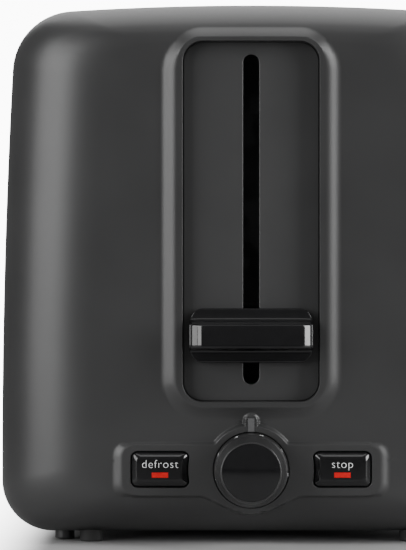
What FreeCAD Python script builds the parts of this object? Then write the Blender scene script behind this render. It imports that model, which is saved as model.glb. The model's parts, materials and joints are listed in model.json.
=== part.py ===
import FreeCAD, Part
import math
import os

# Two-slice pop-up toaster. Millimetres, +Z up, control end facing -Y.
# The origin is the middle of the bounding box, at the level of the surface it stands on.

# ---- body -----------------------------------------------------------------------------
BODY_LENGTH = 300.0
BODY_WIDTH = 177.2
BODY_TOP = 190.0
BODY_BOTTOM = 3.4
KNOB_REACH = 17.5  # how far the browning knob stands out of the front face

FRONT = KNOB_REACH / 2 - BODY_LENGTH / 2  # y of the flat front face
REAR = KNOB_REACH / 2 + BODY_LENGTH / 2

# outline of the body seen from the front: two side arcs, a dome and four corners
SIDE_RADIUS = 2585.0
WIDEST_Z = 28.0
DOME_RADIUS = 1000.0
TOP_CORNER = 22.0
BOTTOM_CORNER = 18.0

# end caps: how far the rounding reaches in from the outline, and how deep it is
ROUND_SIDE, ROUND_TOP, ROUND_BOTTOM = 34.0, 15.0, 16.5
ROUND_DEPTH = 26.0
ROUND_STEPS = 9
CORNER_SHRINK = 8.0
CAP_DEPTH = 40.0
CAP_LIP = 6.0
CAP_WALL = 2.5
LIP_WALL = 1.5
CAP_FLOOR = BODY_BOTTOM + CAP_WALL

# metal wrap, sunk deck and base
SHELL_INSET, SHELL_WALL = 1.6, 0.8
SHELL_FRONT = FRONT + CAP_DEPTH - CAP_LIP + 0.2
SHELL_REAR = REAR - CAP_DEPTH + CAP_LIP - 0.2
DECK_HALF, DECK_LENGTH, DECK_CORNER, DECK_THICK = 54.0, 164.0, 12.0, 1.4
BASE_HALF, BASE_THICK = 66.5, 2.2
BASE_Z = BODY_BOTTOM + SHELL_INSET
BASE_TOP = BASE_Z + BASE_THICK

# ---- control end ----------------------------------------------------------------------
FRAME_WIDTH, FRAME_LOW, FRAME_HIGH, FRAME_CORNER = 51.2, 48.4, 177.2, 8.7
FRAME_RIM, FRAME_RISE = 1.85, 2.0
SLOT_WIDTH, SLOT_LOW, SLOT_HIGH = 5.55, 56.2, 170.9
PANEL_THICK = 2.0

LEVER_Z, LEVER_WIDTH, LEVER_HALF_TALL, LEVER_REACH, LEVER_CORNER = 73.2, 42.6, 9.5, 13.0, 5.0
TRAVEL = 84.0

PLATE_WIDTH, PLATE_LOW, PLATE_HIGH, PLATE_CORNER, PLATE_RISE = 88.6, 18.0, 35.2, 4.2, 1.3
PLATE_BEND = 16.5  # x where the plate's lower edge starts to run down to the bulge
PLATE_CREST = FRONT - PLATE_RISE
KNOB_Z = 26.6
BULGE_RADIUS, KNOB_WELL_RADIUS, KNOB_RADIUS, KNOB_FACE_RADIUS = 15.1, 13.24, 12.9, 10.2
KNOB_DOME = 1.0
SHAFT_RADIUS, SHAFT_CLEARANCE = 2.6, 0.05
TAB_HALF, TAB_TOP = 1.9, 45.4
MARK_HALF, MARK_LOW, MARK_HIGH = 1.15, 39.9, 44.5

BUTTON_X, BUTTON_Z, BUTTON_WIDTH, BUTTON_TALL, BUTTON_CORNER = 31.6, 26.8, 20.5, 12.7, 2.5
BUTTON_GAP, BUTTON_BEVEL, BUTTON_RISE = 0.3, 1.9, 1.0
BUTTON_ARC = 21.8  # radius about the knob of the button's hollow side
BUTTON_TRAVEL = 1.5
LENS_HALF, LENS_LOW, LENS_HIGH = 2.85, 24.0, 25.8

BOARD_FRONT = FRONT + 19.0
BOARD_BACK = BOARD_FRONT + 1.6
BOARD_HALF, BOARD_Z0, BOARD_Z1 = 48.0, 11.0, 56.0
BOARD_SCREW_X, BOARD_SCREW_Z = 44.0, (15.2, 52.0)
CONTACT_X0, CONTACT_X1, CONTACT_Z0, CONTACT_Z1 = 16.0, 34.0, 18.0, 33.0

# ---- toasting chamber -----------------------------------------------------------------
CHAMBER_FRONT, CHAMBER_REAR = -68.0, 92.0  # outer faces of the two bulkheads
CHAMBER_Y = (CHAMBER_FRONT + CHAMBER_REAR) / 2
SHEET = 0.8
BREAD_X, BREAD_SLOT_WIDTH, BREAD_SLOT_LENGTH = 31.0, 30.0, 144.0
BULKHEAD_HALF, BULKHEAD_TOP, FLANGE_REACH = 66.0, 178.0, 10.0
REFLECTOR_X, REFLECTOR_THICK = 64.0, 0.6
MICA_THICK, MICA_LOW, MICA_HIGH, MICA_END_GAP = 0.8, 34.0, 150.0, 3.5
MICA_X = {"left_outer": -58.0, "left_inner": -4.0, "right_inner": 4.0, "right_outer": 58.0}
MICA_TAB_Z, MICA_TAB_TALL = (44.0, 138.0), 7.0
RIBBON_COUNT, RIBBON_FIRST, RIBBON_PITCH = 10, 52.0, 8.6
RIBBON_TALL, RIBBON_THICK = 1.6, 0.35
GUARD_OFFSET, GUARD_PIVOT_Z, GUARD_TOP_Z, GUARD_TILT = 17.0, 36.0, 150.0, 3.5
GUARD_PIVOT_RADIUS, GUARD_WIRE, GUARD_WIRES = 1.2, 0.8, 9

# ---- carriage, guides and latch -------------------------------------------------------
RACK_Z = 40.0
RACK_HALF, RACK_TEETH = 7.0, 8
CARRIAGE_Y, CARRIAGE_THICK, CARRIAGE_HALF = -76.0, 1.2, 42.0
ROD_X, ROD_Y, ROD_RADIUS = 20.0, -84.0, 2.5
EAR_Z, EAR_HALF = (52.0, 83.0), 27.0
BUSH_RADIUS, BUSH_LENGTH, BUSH_CLEARANCE = 4.5, 8.0, 0.05
BRIDGE_Z, BRIDGE_THICK = 176.0, 1.2
SPRING_X, SPRING_Y, SPRING_LOW, SPRING_HIGH = 36.0, -79.5, 44.0, 166.0
SPRING_RADIUS, SPRING_WIRE, SPRING_TURNS = 2.6, 0.45, 26
MAGNET_Y, MAGNET_TOP = ROD_Y - 9.0, RACK_Z - 7.2

# ---- rear end, tray, feet and fasteners -----------------------------------------------
TRAY_HALF, TRAY_FLOOR_Z, TRAY_RIM_Z, TRAY_SHEET = 57.0, 10.2, 17.8, 0.6
TRAY_FRONT, TRAY_BACK = -62.0, 147.0
HANDLE_HALF, HANDLE_TOP, HANDLE_DEPTH, HANDLE_GAP = 58.0, 19.6, 16.0, 0.35
RAIL_X = 42.0
GLAND_X, GLAND_Z, GLAND_RADIUS, GLAND_BORE = 40.0, 36.0, 6.0, 3.7
TERMINAL_Y = CHAMBER_REAR + 16.0
LEAD_RADIUS, LEAD_X, LEAD_BEND, LEAD_Z = 1.1, 74.0, 10.0, (27.6, 30.9)
FOOT_X, FOOT_SETBACK, FOOT_RADIUS, FOOT_STEM = 56.6, 22.0, 4.2, 3.4
CLEAT_X, CLEAT_SETBACK, CLEAT_RADIUS = 66.5, 29.0, 3.5
SCREW_HEAD, SCREW_SHANK, SCREW_PLAY = 3.0, 1.4, 0.05
CAP_SCREW_X, CAP_SCREW_SETBACK = 34.0, 31.0
BULKHEAD_SCREW_X, BULKHEAD_SCREW_STEP = 61.5, 5.0

V = FreeCAD.Vector
RIGHT, BACK, UP = V(1, 0, 0), V(0, 1, 0), V(0, 0, 1)
SIDES = (-1, 1)


# ---- small helpers --------------------------------------------------------------------
def box(x0, x1, y0, y1, z0, z1):
    return Part.makeBox(x1 - x0, y1 - y0, z1 - z0, V(x0, y0, z0))


def rod(radius, start, direction, length):
    return Part.makeCylinder(radius, length, V(*start), direction)


def join(shapes):
    first, *others = shapes
    return first.fuse(others).removeSplitter()


def spread(first, last, count):
    """Evenly spaced values, both ends included."""
    return [first + (last - first) * i / (count - 1) for i in range(count)]


def arc(p, middle, q):
    return Part.Arc(p, middle, q).toShape()


def rounded_rect(x0, x1, z0, z1, radius, y):
    """Closed wire in the plane y, with four corner arcs."""
    r, k = radius, radius * (1 - math.sqrt(0.5))
    corners = [
        ((x1 - r, z0), (x1 - k, z0 + k), (x1, z0 + r)),
        ((x1, z1 - r), (x1 - k, z1 - k), (x1 - r, z1)),
        ((x0 + r, z1), (x0 + k, z1 - k), (x0, z1 - r)),
        ((x0, z0 + r), (x0 + k, z0 + k), (x0 + r, z0)),
    ]
    edges, last = [], corners[-1][2]
    for start, middle, end in corners:
        edges.append(Part.makeLine(V(last[0], y, last[1]), V(start[0], y, start[1])))
        edges.append(arc(*(V(x, y, z) for x, z in (start, middle, end))))
        last = end
    return Part.Wire(edges)


def rect_prism(x0, x1, z0, z1, radius, y0, y1):
    """Prism along Y whose section is a rounded rectangle."""
    return Part.Face(rounded_rect(x0, x1, z0, z1, radius, y0)).extrude(V(0, y1 - y0, 0))


def plan_prism(x0, x1, y0, y1, radius, z0, z1):
    """Upright prism whose plan is a rounded rectangle."""
    prism = rect_prism(x0, x1, y0, y1, radius, -z1, -z0)
    prism.rotate(V(), RIGHT, -90)
    return prism


def slot_prism(x, half_width, half_length, corner, z0, z1):
    """Upright prism over an opening of the toasting chamber, centred along it."""
    y0, y1 = CHAMBER_Y - half_length, CHAMBER_Y + half_length
    return plan_prism(x - half_width, x + half_width, y0, y1, corner, z0, z1)


def turned(profile, z):
    """Solid of revolution about the Y direction through (0, z); profile is (radius, y) pairs."""
    points = [V(r, y, z) for r, y in profile]
    face = Part.Face(Part.makePolygon(points + points[:1]))
    return face.revolve(V(0, 0, z), BACK, 360)


# ---- body outline and rounded ends ----------------------------------------------------
def upper_crossing(c1, r1, c2, r2):
    """Upper crossing point of two circles in the XZ plane."""
    dx, dz = c2[0] - c1[0], c2[1] - c1[1]
    d = math.hypot(dx, dz)
    a = (r1 * r1 - r2 * r2 + d * d) / (2 * d)
    h = math.sqrt(r1 * r1 - a * a)
    mx, mz = c1[0] + a * dx / d, c1[1] + a * dz / d
    both = [(mx - h * dz / d, mz + h * dx / d), (mx + h * dz / d, mz - h * dx / d)]
    return max(both, key=lambda p: p[1])


def on_circle(centre, radius, through):
    """Point of a circle that lies towards another point."""
    d = math.hypot(through[0] - centre[0], through[1] - centre[1])
    return tuple(c + radius * (t - c) / d for c, t in zip(centre, through))


def body_outline(y, side, top, bottom, top_corner, bottom_corner):
    """Closed outline of tangent edges, inset from the full body by side, top and bottom."""
    side_centre, side_r = (BODY_WIDTH / 2 - SIDE_RADIUS, WIDEST_Z), SIDE_RADIUS - side
    dome_centre, dome_r = (0.0, BODY_TOP - DOME_RADIUS), DOME_RADIUS - top
    low = BODY_BOTTOM + bottom
    upper = upper_crossing(side_centre, side_r - top_corner, dome_centre, dome_r - top_corner)
    reach, rise = side_r - bottom_corner, low + bottom_corner - WIDEST_Z
    lower = (side_centre[0] + math.sqrt(reach**2 - rise**2), low + bottom_corner)

    foot = (lower[0], low)
    side_low = on_circle(side_centre, side_r, lower)
    side_high = on_circle(side_centre, side_r, upper)
    dome_end = on_circle(dome_centre, dome_r, upper)

    def three_points(centre, radius, p, q):
        return p, on_circle(centre, radius, ((p[0] + q[0]) / 2, (p[1] + q[1]) / 2)), q

    right = [
        three_points(lower, bottom_corner, foot, side_low),
        three_points(side_centre, side_r, side_low, side_high),
        three_points(upper, top_corner, side_high, dome_end),
    ]

    def point(p, sign=1):
        return V(sign * p[0], y, p[1])

    edges = [Part.makeLine(point(foot, -1), point(foot))]
    edges += [arc(*(point(p) for p in three)) for three in right]
    edges.append(arc(point(dome_end), V(0, y, BODY_TOP - top), point(dome_end, -1)))
    edges += [arc(*(point(p, -1) for p in reversed(three))) for three in reversed(right)]
    return Part.Wire(edges)


def outline_prism(y0, y1, inset):
    """Straight length of the body, inset all round."""
    wire = body_outline(y0, inset, inset, inset, TOP_CORNER - inset, BOTTOM_CORNER - inset)
    return Part.Face(wire).extrude(V(0, y1 - y0, 0))


def pillow(face_y, inward, inset):
    """Rounded end of the body. inward is +1 for the control end, -1 for the rear end."""
    sections = []
    for turn in spread(0.0, math.pi / 2, ROUND_STEPS + 1):
        left = 1 - math.sin(turn)
        depth = inset + (ROUND_DEPTH - inset) * (1 - math.cos(turn))
        sections.append(
            body_outline(
                face_y + inward * depth,
                inset + (ROUND_SIDE - inset) * left,
                inset + (ROUND_TOP - inset) * left,
                inset + (ROUND_BOTTOM - inset) * left,
                TOP_CORNER - inset - CORNER_SHRINK * left,
                BOTTOM_CORNER - inset - CORNER_SHRINK * left,
            )
        )
    rounded = Part.makeLoft(sections, True, False)
    ends = sorted(face_y + inward * depth for depth in (ROUND_DEPTH, CAP_DEPTH))
    return rounded.fuse(outline_prism(*ends, inset))


def cap_cavity(face_y, inward):
    """Free space inside an end cap, with the wider lip that takes the metal wrap."""
    ends = sorted(face_y + inward * depth for depth in (CAP_DEPTH - CAP_LIP, CAP_DEPTH + 1))
    return pillow(face_y, inward, CAP_WALL).fuse(outline_prism(*ends, LIP_WALL))


# ---- control end ----------------------------------------------------------------------
def lever_frame_boss():
    """Raised surround of the lever slot: drafted flanks that run out into the rounding."""
    half, buried, side_spread, top_spread = FRAME_WIDTH / 2, 2.74, 9.5, 4.6
    crest = rounded_rect(-half, half, FRAME_LOW, FRAME_HIGH, FRAME_CORNER, FRONT - FRAME_RISE)
    foot = rounded_rect(
        -half - side_spread,
        half + side_spread,
        FRAME_LOW - side_spread,
        FRAME_HIGH + top_spread,
        FRAME_CORNER + top_spread,
        FRONT + buried,
    )
    return Part.makeLoft([foot, crest], True, True)


def bulge_tangent():
    """Where the line from the plate's lower edge touches the bulge round the knob."""
    dx, dz = PLATE_BEND, PLATE_LOW - KNOB_Z
    d = math.hypot(dx, dz)
    angle = math.atan2(dz, dx) - math.acos(BULGE_RADIUS / d)
    return BULGE_RADIUS * math.cos(angle), KNOB_Z + BULGE_RADIUS * math.sin(angle)


def control_plate_boss():
    """Raised plate: bar, round bulge about the knob, pointer tab and tapered lower edge."""
    half, back = PLATE_WIDTH / 2, FRONT + CAP_WALL
    thick = back - PLATE_CREST
    bar = rect_prism(-half, half, PLATE_LOW, PLATE_HIGH, PLATE_CORNER, PLATE_CREST, back)
    bulge = rod(BULGE_RADIUS, (0, PLATE_CREST, KNOB_Z), BACK, thick)
    tab = rect_prism(-TAB_HALF, TAB_HALF, KNOB_Z, TAB_TOP, TAB_HALF - 0.01, PLATE_CREST, back)
    touch_x, touch_z = bulge_tangent()
    corners = [(-PLATE_BEND, PLATE_LOW), (-touch_x, touch_z), (touch_x, touch_z), (PLATE_BEND, PLATE_LOW)]
    taper = Part.Face(Part.makePolygon([V(x, PLATE_CREST, z) for x, z in corners + corners[:1]]))
    return join([bar, bulge, tab, taper.extrude(V(0, thick, 0))])


def button_prism(sign, shrink, y0, y1):
    """Rounded rectangle whose side next to the knob is hollowed to an arc about the knob."""
    half_wide, half_tall = BUTTON_WIDTH / 2 - shrink, BUTTON_TALL / 2 - shrink
    corner = BUTTON_CORNER - min(shrink, BUTTON_CORNER / 2)
    x0, x1 = BUTTON_X - half_wide, BUTTON_X + half_wide
    block = rect_prism(x0, x1, BUTTON_Z - half_tall, BUTTON_Z + half_tall, corner, y0, y1)
    block = block.cut(rod(BUTTON_ARC + shrink, (0, y0 - 1, KNOB_Z), BACK, y1 - y0 + 2))
    return block if sign > 0 else block.mirror(V(), RIGHT)


def cap_screw_places():
    ys = (FRONT + CAP_SCREW_SETBACK, REAR - CAP_SCREW_SETBACK)
    return [(sign * CAP_SCREW_X, y) for sign in SIDES for y in ys]


def cut_cap_underside(cap, feet):
    """Counterbored screw holes, and the seats of the feet."""
    head_depth = 1.2
    for x, y in cap_screw_places():
        cap = cap.cut(rod(SCREW_HEAD + SCREW_PLAY, (x, y, BODY_BOTTOM - 1), UP, 1 + head_depth))
        cap = cap.cut(rod(SCREW_SHANK + SCREW_PLAY, (x, y, BODY_BOTTOM), UP, 6.0))
    return cap.cut(feet)


def make_front_cap(feet):
    shell = pillow(FRONT, 1, 0.0).fuse([lever_frame_boss(), control_plate_boss()])
    shell = shell.cut(cap_cavity(FRONT, 1))
    half, well_depth, shaft_hole = FRAME_WIDTH / 2 - FRAME_RIM, 0.4, 4.2
    low, high = FRAME_LOW + FRAME_RIM, FRAME_HIGH - FRAME_RIM
    window = rect_prism(-half, half, low, high, FRAME_CORNER - FRAME_RIM, FRONT - 10, FRONT + 12)
    mark_seat = box(-MARK_HALF, MARK_HALF, PLATE_CREST - 1, PLATE_CREST + 0.5, MARK_LOW, MARK_HIGH)
    shell = shell.cut([window, mark_seat])
    shell = shell.cut(rod(KNOB_WELL_RADIUS, (0, FRONT - 10, KNOB_Z), BACK, 10 + well_depth))
    shell = shell.cut(rod(shaft_hole, (0, FRONT - 10, KNOB_Z), BACK, 20))
    for sign in SIDES:
        shell = shell.cut(button_prism(sign, 0.0, FRONT - 10, FRONT + 12))
    return cut_cap_underside(shell, feet)


def make_pointer_mark():
    proud, sunk = 0.15, 0.5
    return box(-MARK_HALF, MARK_HALF, PLATE_CREST - proud, PLATE_CREST + sunk, MARK_LOW, MARK_HIGH)


def make_slot_panel(front_cap):
    """Inset panel behind the frame, with the lever's slot."""
    flange, y0 = 1.6, FRONT + CAP_WALL
    half, y1 = FRAME_WIDTH / 2 - FRAME_RIM + flange, y0 + PANEL_THICK
    low, high = FRAME_LOW + FRAME_RIM - flange, FRAME_HIGH - FRAME_RIM + flange
    panel = rect_prism(-half, half, low, high, FRAME_CORNER, y0, y1)
    slot_half = SLOT_WIDTH / 2
    slot = rect_prism(-slot_half, slot_half, SLOT_LOW, SLOT_HIGH, slot_half - 0.3, y0 - 1, y1 + 1)
    return panel.cut([slot, front_cap])


def make_lever_knob(carriage):
    """Glossy paddle: flat backing with round corners, and a wide grip bar along its middle."""
    half, z, tall = LEVER_WIDTH / 2, LEVER_Z, LEVER_HALF_TALL
    back, face, nose = FRONT + 1.6, FRONT - 1.4, FRONT - LEVER_REACH
    top, under, edge = 3.8, -4.0, 0.6  # grip bar above and below the middle, and its edge radius
    bend = edge * (1 - math.sqrt(0.5))

    def at(y, dz):
        return V(-half, y, z + dz)

    edges = [
        Part.makeLine(at(back, -tall), at(back, tall)),
        Part.makeLine(at(back, tall), at(face, tall)),
        Part.makeLine(at(face, tall), at(face, top + 2.8)),
        arc(at(face, top + 2.8), at(face - 3.4, top + 0.9), at(nose + edge, top + 0.2)),
        arc(at(nose + edge, top + 0.2), at(nose + bend, top + 0.2 - bend), at(nose, top + 0.2 - edge)),
        Part.makeLine(at(nose, top + 0.2 - edge), at(nose, under + edge)),
        arc(at(nose, under + edge), at(nose + bend, under + bend), at(nose + edge, under)),
        Part.makeLine(at(nose + edge, under), at(face - 1.0, under - 0.8)),
        arc(at(face - 1.0, under - 0.8), at(face - 0.3, under - 1.1), at(face, under - 1.8)),
        Part.makeLine(at(face, under - 1.8), at(face, -tall)),
        Part.makeLine(at(face, -tall), at(back, -tall)),
    ]
    bar = Part.Face(Part.Wire(edges)).extrude(V(LEVER_WIDTH, 0, 0))
    seen_from_front = rect_prism(-half, half, z - tall, z + tall, LEVER_CORNER, nose - 1, back + 1)
    seen_from_above = plan_prism(-half, half, nose, back + 20, LEVER_CORNER, z - tall - 1, z + tall + 1)
    return bar.common(seen_from_front).common(seen_from_above).cut(carriage)


def make_browning_knob():
    """Knob body: steep numbered wall, a cone up to the rim, and a seat for the glossy face."""
    nose, wall, seat = FRONT - KNOB_REACH, FRONT - 8.0, 3.0
    profile = [
        (SHAFT_RADIUS, FRONT + 0.3),
        (KNOB_RADIUS, FRONT + 0.3),
        (KNOB_RADIUS, FRONT - 2.0),
        (KNOB_RADIUS - 0.35, wall),
        (KNOB_RADIUS - 0.8, wall - 0.5),
        (KNOB_FACE_RADIUS + 0.55, nose + 1.5),
        (KNOB_FACE_RADIUS + 0.25, nose + 1.1),
        (KNOB_FACE_RADIUS, nose + 1.2),
        (KNOB_FACE_RADIUS, nose + seat),
        (SHAFT_RADIUS, nose + seat),
    ]
    return turned(profile, KNOB_Z)


def make_knob_face():
    """Domed disc set into the knob."""
    nose, thick = FRONT - KNOB_REACH, 3.0
    radius = (KNOB_FACE_RADIUS**2 + KNOB_DOME**2) / (2 * KNOB_DOME)
    ball = Part.makeSphere(radius, V(0, nose + radius, KNOB_Z))
    return ball.common(rod(KNOB_FACE_RADIUS, (0, nose, KNOB_Z), BACK, thick))


def make_pot_shaft():
    start = FRONT - KNOB_REACH + 3.0
    return rod(SHAFT_RADIUS, (0, start, KNOB_Z), BACK, FRONT + 12.0 - start)


def make_potentiometer():
    half, front = 8.0, FRONT + 12.2
    body = box(-half, half, front, BOARD_FRONT, KNOB_Z - half, KNOB_Z + half)
    neck = rod(3.6, (0, FRONT + 4.0, KNOB_Z), BACK, front - FRONT - 3.9)
    return join([body, neck]).cut(rod(SHAFT_RADIUS + SHAFT_CLEARANCE, (0, FRONT, KNOB_Z), BACK, 13.0))


def button_wire(sign, shrink, y):
    """The button's outline as one wire in the plane y."""
    faces = button_prism(sign, shrink, y, y + 1).Faces
    return next(f for f in faces if abs(f.CenterOfMass.y - y) < 1e-6).OuterWire


def lens_block(sign, y0, y1):
    x = sign * BUTTON_X
    return box(x - LENS_HALF, x + LENS_HALF, y0, y1, LENS_LOW, LENS_HIGH)


def make_button(sign):
    """Bevelled key with a retaining flange and a stem that works a switch on the board."""
    rim, crest, wall_back = FRONT - 0.2, PLATE_CREST - BUTTON_RISE, FRONT + CAP_WALL
    flange_over, stem_half, switch_gap = 1.0, 2.0, 5.2
    x, half_wide, half_tall = sign * BUTTON_X, BUTTON_WIDTH / 2, BUTTON_TALL / 2
    key = button_prism(sign, BUTTON_GAP, rim, wall_back + 0.5)
    wires = [button_wire(sign, BUTTON_GAP, rim), button_wire(sign, BUTTON_GAP + BUTTON_BEVEL, crest)]
    bevel = Part.makeLoft(wires, True, True)
    flange = box(
        x - half_wide - flange_over,
        x + half_wide + flange_over,
        wall_back + 0.4,
        wall_back + 1.6,
        BUTTON_Z - half_tall - flange_over,
        BUTTON_Z + half_tall + flange_over,
    )
    stem_end = BOARD_FRONT - switch_gap
    stem = box(
        x - stem_half, x + stem_half, wall_back, stem_end, BUTTON_Z - stem_half, BUTTON_Z + stem_half
    )
    return join([key, bevel, flange, stem]).cut(lens_block(sign, crest - 1, FRONT + 2.0))


def make_lens(sign):
    return lens_block(sign, PLATE_CREST - BUTTON_RISE - 0.05, FRONT + 2.0)


def board_screw_places():
    return [(sign * BOARD_SCREW_X, z) for sign in SIDES for z in BOARD_SCREW_Z]


def make_control_board():
    board = box(-BOARD_HALF, BOARD_HALF, BOARD_FRONT, BOARD_BACK, BOARD_Z0, BOARD_Z1)
    holes = [rod(1.6, (x, BOARD_FRONT - 1, z), BACK, 4) for x, z in board_screw_places()]
    return board.cut(holes)


def make_board_screws():
    head, shank, reach = 2.8, 1.5, 8.0
    found = []
    for x, z in board_screw_places():
        top = rod(head, (x, BOARD_BACK, z), BACK, 1.6)
        found.append(join([top, rod(shank, (x, BOARD_FRONT - reach, z), BACK, reach + 1.7)]))
    return Part.makeCompound(found)


def make_board_carrier(front_cap):
    """Moulded frame behind the front face, with four posts that hold the board."""
    post, rail_half, rail_back = 3.4, 1.6, FRONT + 12.0
    (low, high), x, front = BOARD_SCREW_Z, BOARD_SCREW_X, FRONT + CAP_WALL
    parts = [rod(post, (px, front, pz), BACK, BOARD_FRONT - front) for px, pz in board_screw_places()]
    for z in (low, high):
        parts.append(box(-x, x, rail_back - 2, rail_back, z - rail_half, z + rail_half))
    for side in SIDES:
        rail_x = side * x
        parts.append(box(rail_x - rail_half, rail_x + rail_half, rail_back - 2, rail_back, low, high))
    carrier = join(parts)
    bores = [rod(1.5, (px, BOARD_FRONT - 8, pz), BACK, 9) for px, pz in board_screw_places()]
    window = box(-10, 10, rail_back - 3, rail_back + 1, low - 3, KNOB_Z + 10)
    return largest(carrier.cut(bores + [front_cap, window]))


def largest(shape):
    return max(shape.Solids, key=lambda solid: solid.Volume)


def make_tact_switches():
    half, tall = 3.0, 3.4
    found = []
    for sign in SIDES:
        x = sign * BUTTON_X
        found.append(
            box(x - half, x + half, BOARD_FRONT - tall, BOARD_FRONT, BUTTON_Z - half, BUTTON_Z + half)
        )
    return Part.makeCompound(found)


def make_indicator_leds():
    """Two round-nosed LEDs that stand up behind the lenses."""
    radius, reach, z = 1.5, 9.0, 21.0
    found = []
    for sign in SIDES:
        x, nose = sign * BUTTON_X, BOARD_FRONT - reach
        found.append(join([rod(radius, (x, nose, z), BACK, reach), Part.makeSphere(radius, V(x, nose, z))]))
    return Part.makeCompound(found)


def make_board_parts():
    """Relay, capacitor, chip and three resistors on the back of the board."""
    relay = box(-40, -22, BOARD_BACK, BOARD_BACK + 15, 24, 40)
    chip = box(-12, 8, BOARD_BACK, BOARD_BACK + 3.2, 42, 49)
    capacitor = rod(5.0, (32, BOARD_BACK, 45), BACK, 12)
    resistors = [rod(1.6, (14, BOARD_BACK + 1.7, z), RIGHT, 9) for z in spread(36, 46, 3)]
    return Part.makeCompound([relay, chip, capacitor] + resistors)


def make_contact_block():
    """Main switch, with the two leaf contacts that the carriage closes."""
    front, back, leaf_reach = BOARD_BACK, BOARD_BACK + 11.0, 9.0
    parts = [box(CONTACT_X0, CONTACT_X1, front, back, CONTACT_Z0, CONTACT_Z1)]
    for x in (CONTACT_X0 + 4, CONTACT_X0 + 12):
        parts.append(box(x, x + 2, back, back + leaf_reach, 23.0, 23.5))
    return join(parts)


# ---- body middle ----------------------------------------------------------------------
def make_outer_shell():
    """Bent metal wrap over both sides and the top, open below and round the deck."""
    wrap = outline_prism(SHELL_FRONT, SHELL_REAR, SHELL_INSET)
    wrap = wrap.cut(outline_prism(SHELL_FRONT - 1, SHELL_REAR + 1, SHELL_INSET + SHELL_WALL))
    belly = BASE_HALF + 0.3
    wrap = wrap.cut(box(-belly, belly, SHELL_FRONT - 1, SHELL_REAR + 1, 0, BASE_TOP))
    return wrap.cut(slot_prism(0, DECK_HALF, DECK_LENGTH / 2, DECK_CORNER, 150, 200))


def make_top_deck():
    """Sunk deck with two collared bread slots, hung under the edge of the wrap's opening."""
    under, margin = SHELL_INSET + SHELL_WALL + 0.05, 4.0
    reach, half = DECK_LENGTH / 2 + margin, DECK_HALF + margin
    y0, y1 = CHAMBER_Y - reach, CHAMBER_Y + reach
    sheet = outline_prism(y0, y1, under).cut(outline_prism(y0 - 1, y1 + 1, under + DECK_THICK))
    deck = sheet.common(box(-half, half, y0, y1, 150, 200))
    crest = outline_prism(y0, y1, SHELL_INSET)
    wide, long, wall, corner = BREAD_SLOT_WIDTH / 2, BREAD_SLOT_LENGTH / 2, 1.3, 6.0
    for x in (-BREAD_X, BREAD_X):
        collar = slot_prism(x, wide + wall, long + wall, corner + wall, BULKHEAD_TOP + 0.5, 195)
        deck = deck.fuse(collar.common(crest))
    for x in (-BREAD_X, BREAD_X):
        deck = deck.cut(slot_prism(x, wide, long, corner, 150, 200))
    return deck.removeSplitter()


def bulkhead_screw_places():
    ys = (CHAMBER_FRONT - BULKHEAD_SCREW_STEP, CHAMBER_REAR + BULKHEAD_SCREW_STEP)
    return [(sign * BULKHEAD_SCREW_X, y) for sign in SIDES for y in ys]


def base_tongues():
    """Stepped ends of the base that lie on the floors of the two caps."""
    low, high, half, run = CAP_FLOOR + 0.1, BASE_TOP + 0.8, 62.0, 4.0
    front = (FRONT + CAP_SCREW_SETBACK - run, SHELL_FRONT + CAP_LIP)
    rear = (SHELL_REAR - CAP_LIP, REAR - CAP_SCREW_SETBACK + run)
    return [box(-half, half, y0, y1, low, high) for y0, y1 in (front, rear)]


def make_base_plate():
    parts = [box(-BASE_HALF, BASE_HALF, SHELL_FRONT, SHELL_REAR, BASE_Z, BASE_TOP)] + base_tongues()
    for x in (-RAIL_X, RAIL_X):  # rails that carry the crumb tray
        parts.append(box(x - 1.5, x + 1.5, TRAY_FRONT, SHELL_REAR, BASE_TOP - 0.1, TRAY_FLOOR_Z - 0.2))
    cuts = [rod(SCREW_SHANK, (x, y, 0), UP, 30) for x, y in cap_screw_places() + bulkhead_screw_places()]
    cuts += [rod(SCREW_HEAD, (x, y, 0), UP, BASE_Z + 0.9) for x, y in bulkhead_screw_places()]
    for y in spread(-52.0, 76.0, 9):  # cooling slots
        for x in (-25.0, 0.0, 25.0):
            cuts.append(box(x - 9, x + 9, y, y + 3.5, BASE_Z - 1, BASE_TOP + 1))
    return join(parts).cut(cuts)


def make_bulkhead(y0, inward, tray_window):
    """Pressed steel wall across the chamber, with a foot flange and slots for what passes it."""
    half, flange_half = BULKHEAD_HALF, BULKHEAD_HALF - 1
    wall_y = sorted((y0, y0 + inward * SHEET))
    flange_y = sorted((y0, y0 - inward * FLANGE_REACH))
    wall = box(-half, half, *wall_y, BASE_TOP, BULKHEAD_TOP)
    solid = join([wall, box(-flange_half, flange_half, *flange_y, BASE_TOP, BASE_TOP + SHEET)])
    arm_half, tab_half = 2.5, MICA_THICK / 2 + 0.05
    cuts = []
    for x in (-BREAD_X, BREAD_X):
        cuts.append(box(x - arm_half, x + arm_half, y0 - 2, y0 + 2, RACK_Z - 6, RACK_Z + TRAVEL + 6))
        for side in SIDES:
            pivot = (x + side * GUARD_OFFSET, y0 - 2, GUARD_PIVOT_Z)
            cuts.append(rod(GUARD_PIVOT_RADIUS + 0.05, pivot, BACK, 4))
    for x in MICA_X.values():
        for z in MICA_TAB_Z:
            top = z + MICA_TAB_TALL + 0.1
            cuts.append(box(x - tab_half, x + tab_half, y0 - 2, y0 + 2, z - 0.1, top))
    if tray_window:
        wide = TRAY_HALF + 1.5
        cuts.append(box(-wide, wide, y0 - 20, y0 + 20, BASE_TOP - 1, TRAY_RIM_Z + 1.2))
    cuts += [rod(SCREW_SHANK, (x, y, 0), UP, 30) for x, y in bulkhead_screw_places()]
    return solid.cut(cuts)


def make_upright_sheet(x, low, high):
    """Thin wall along the chamber, from one bulkhead to the other."""
    half = REFLECTOR_THICK / 2
    return box(x - half, x + half, CHAMBER_FRONT + SHEET, CHAMBER_REAR - SHEET, low, high)


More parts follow.
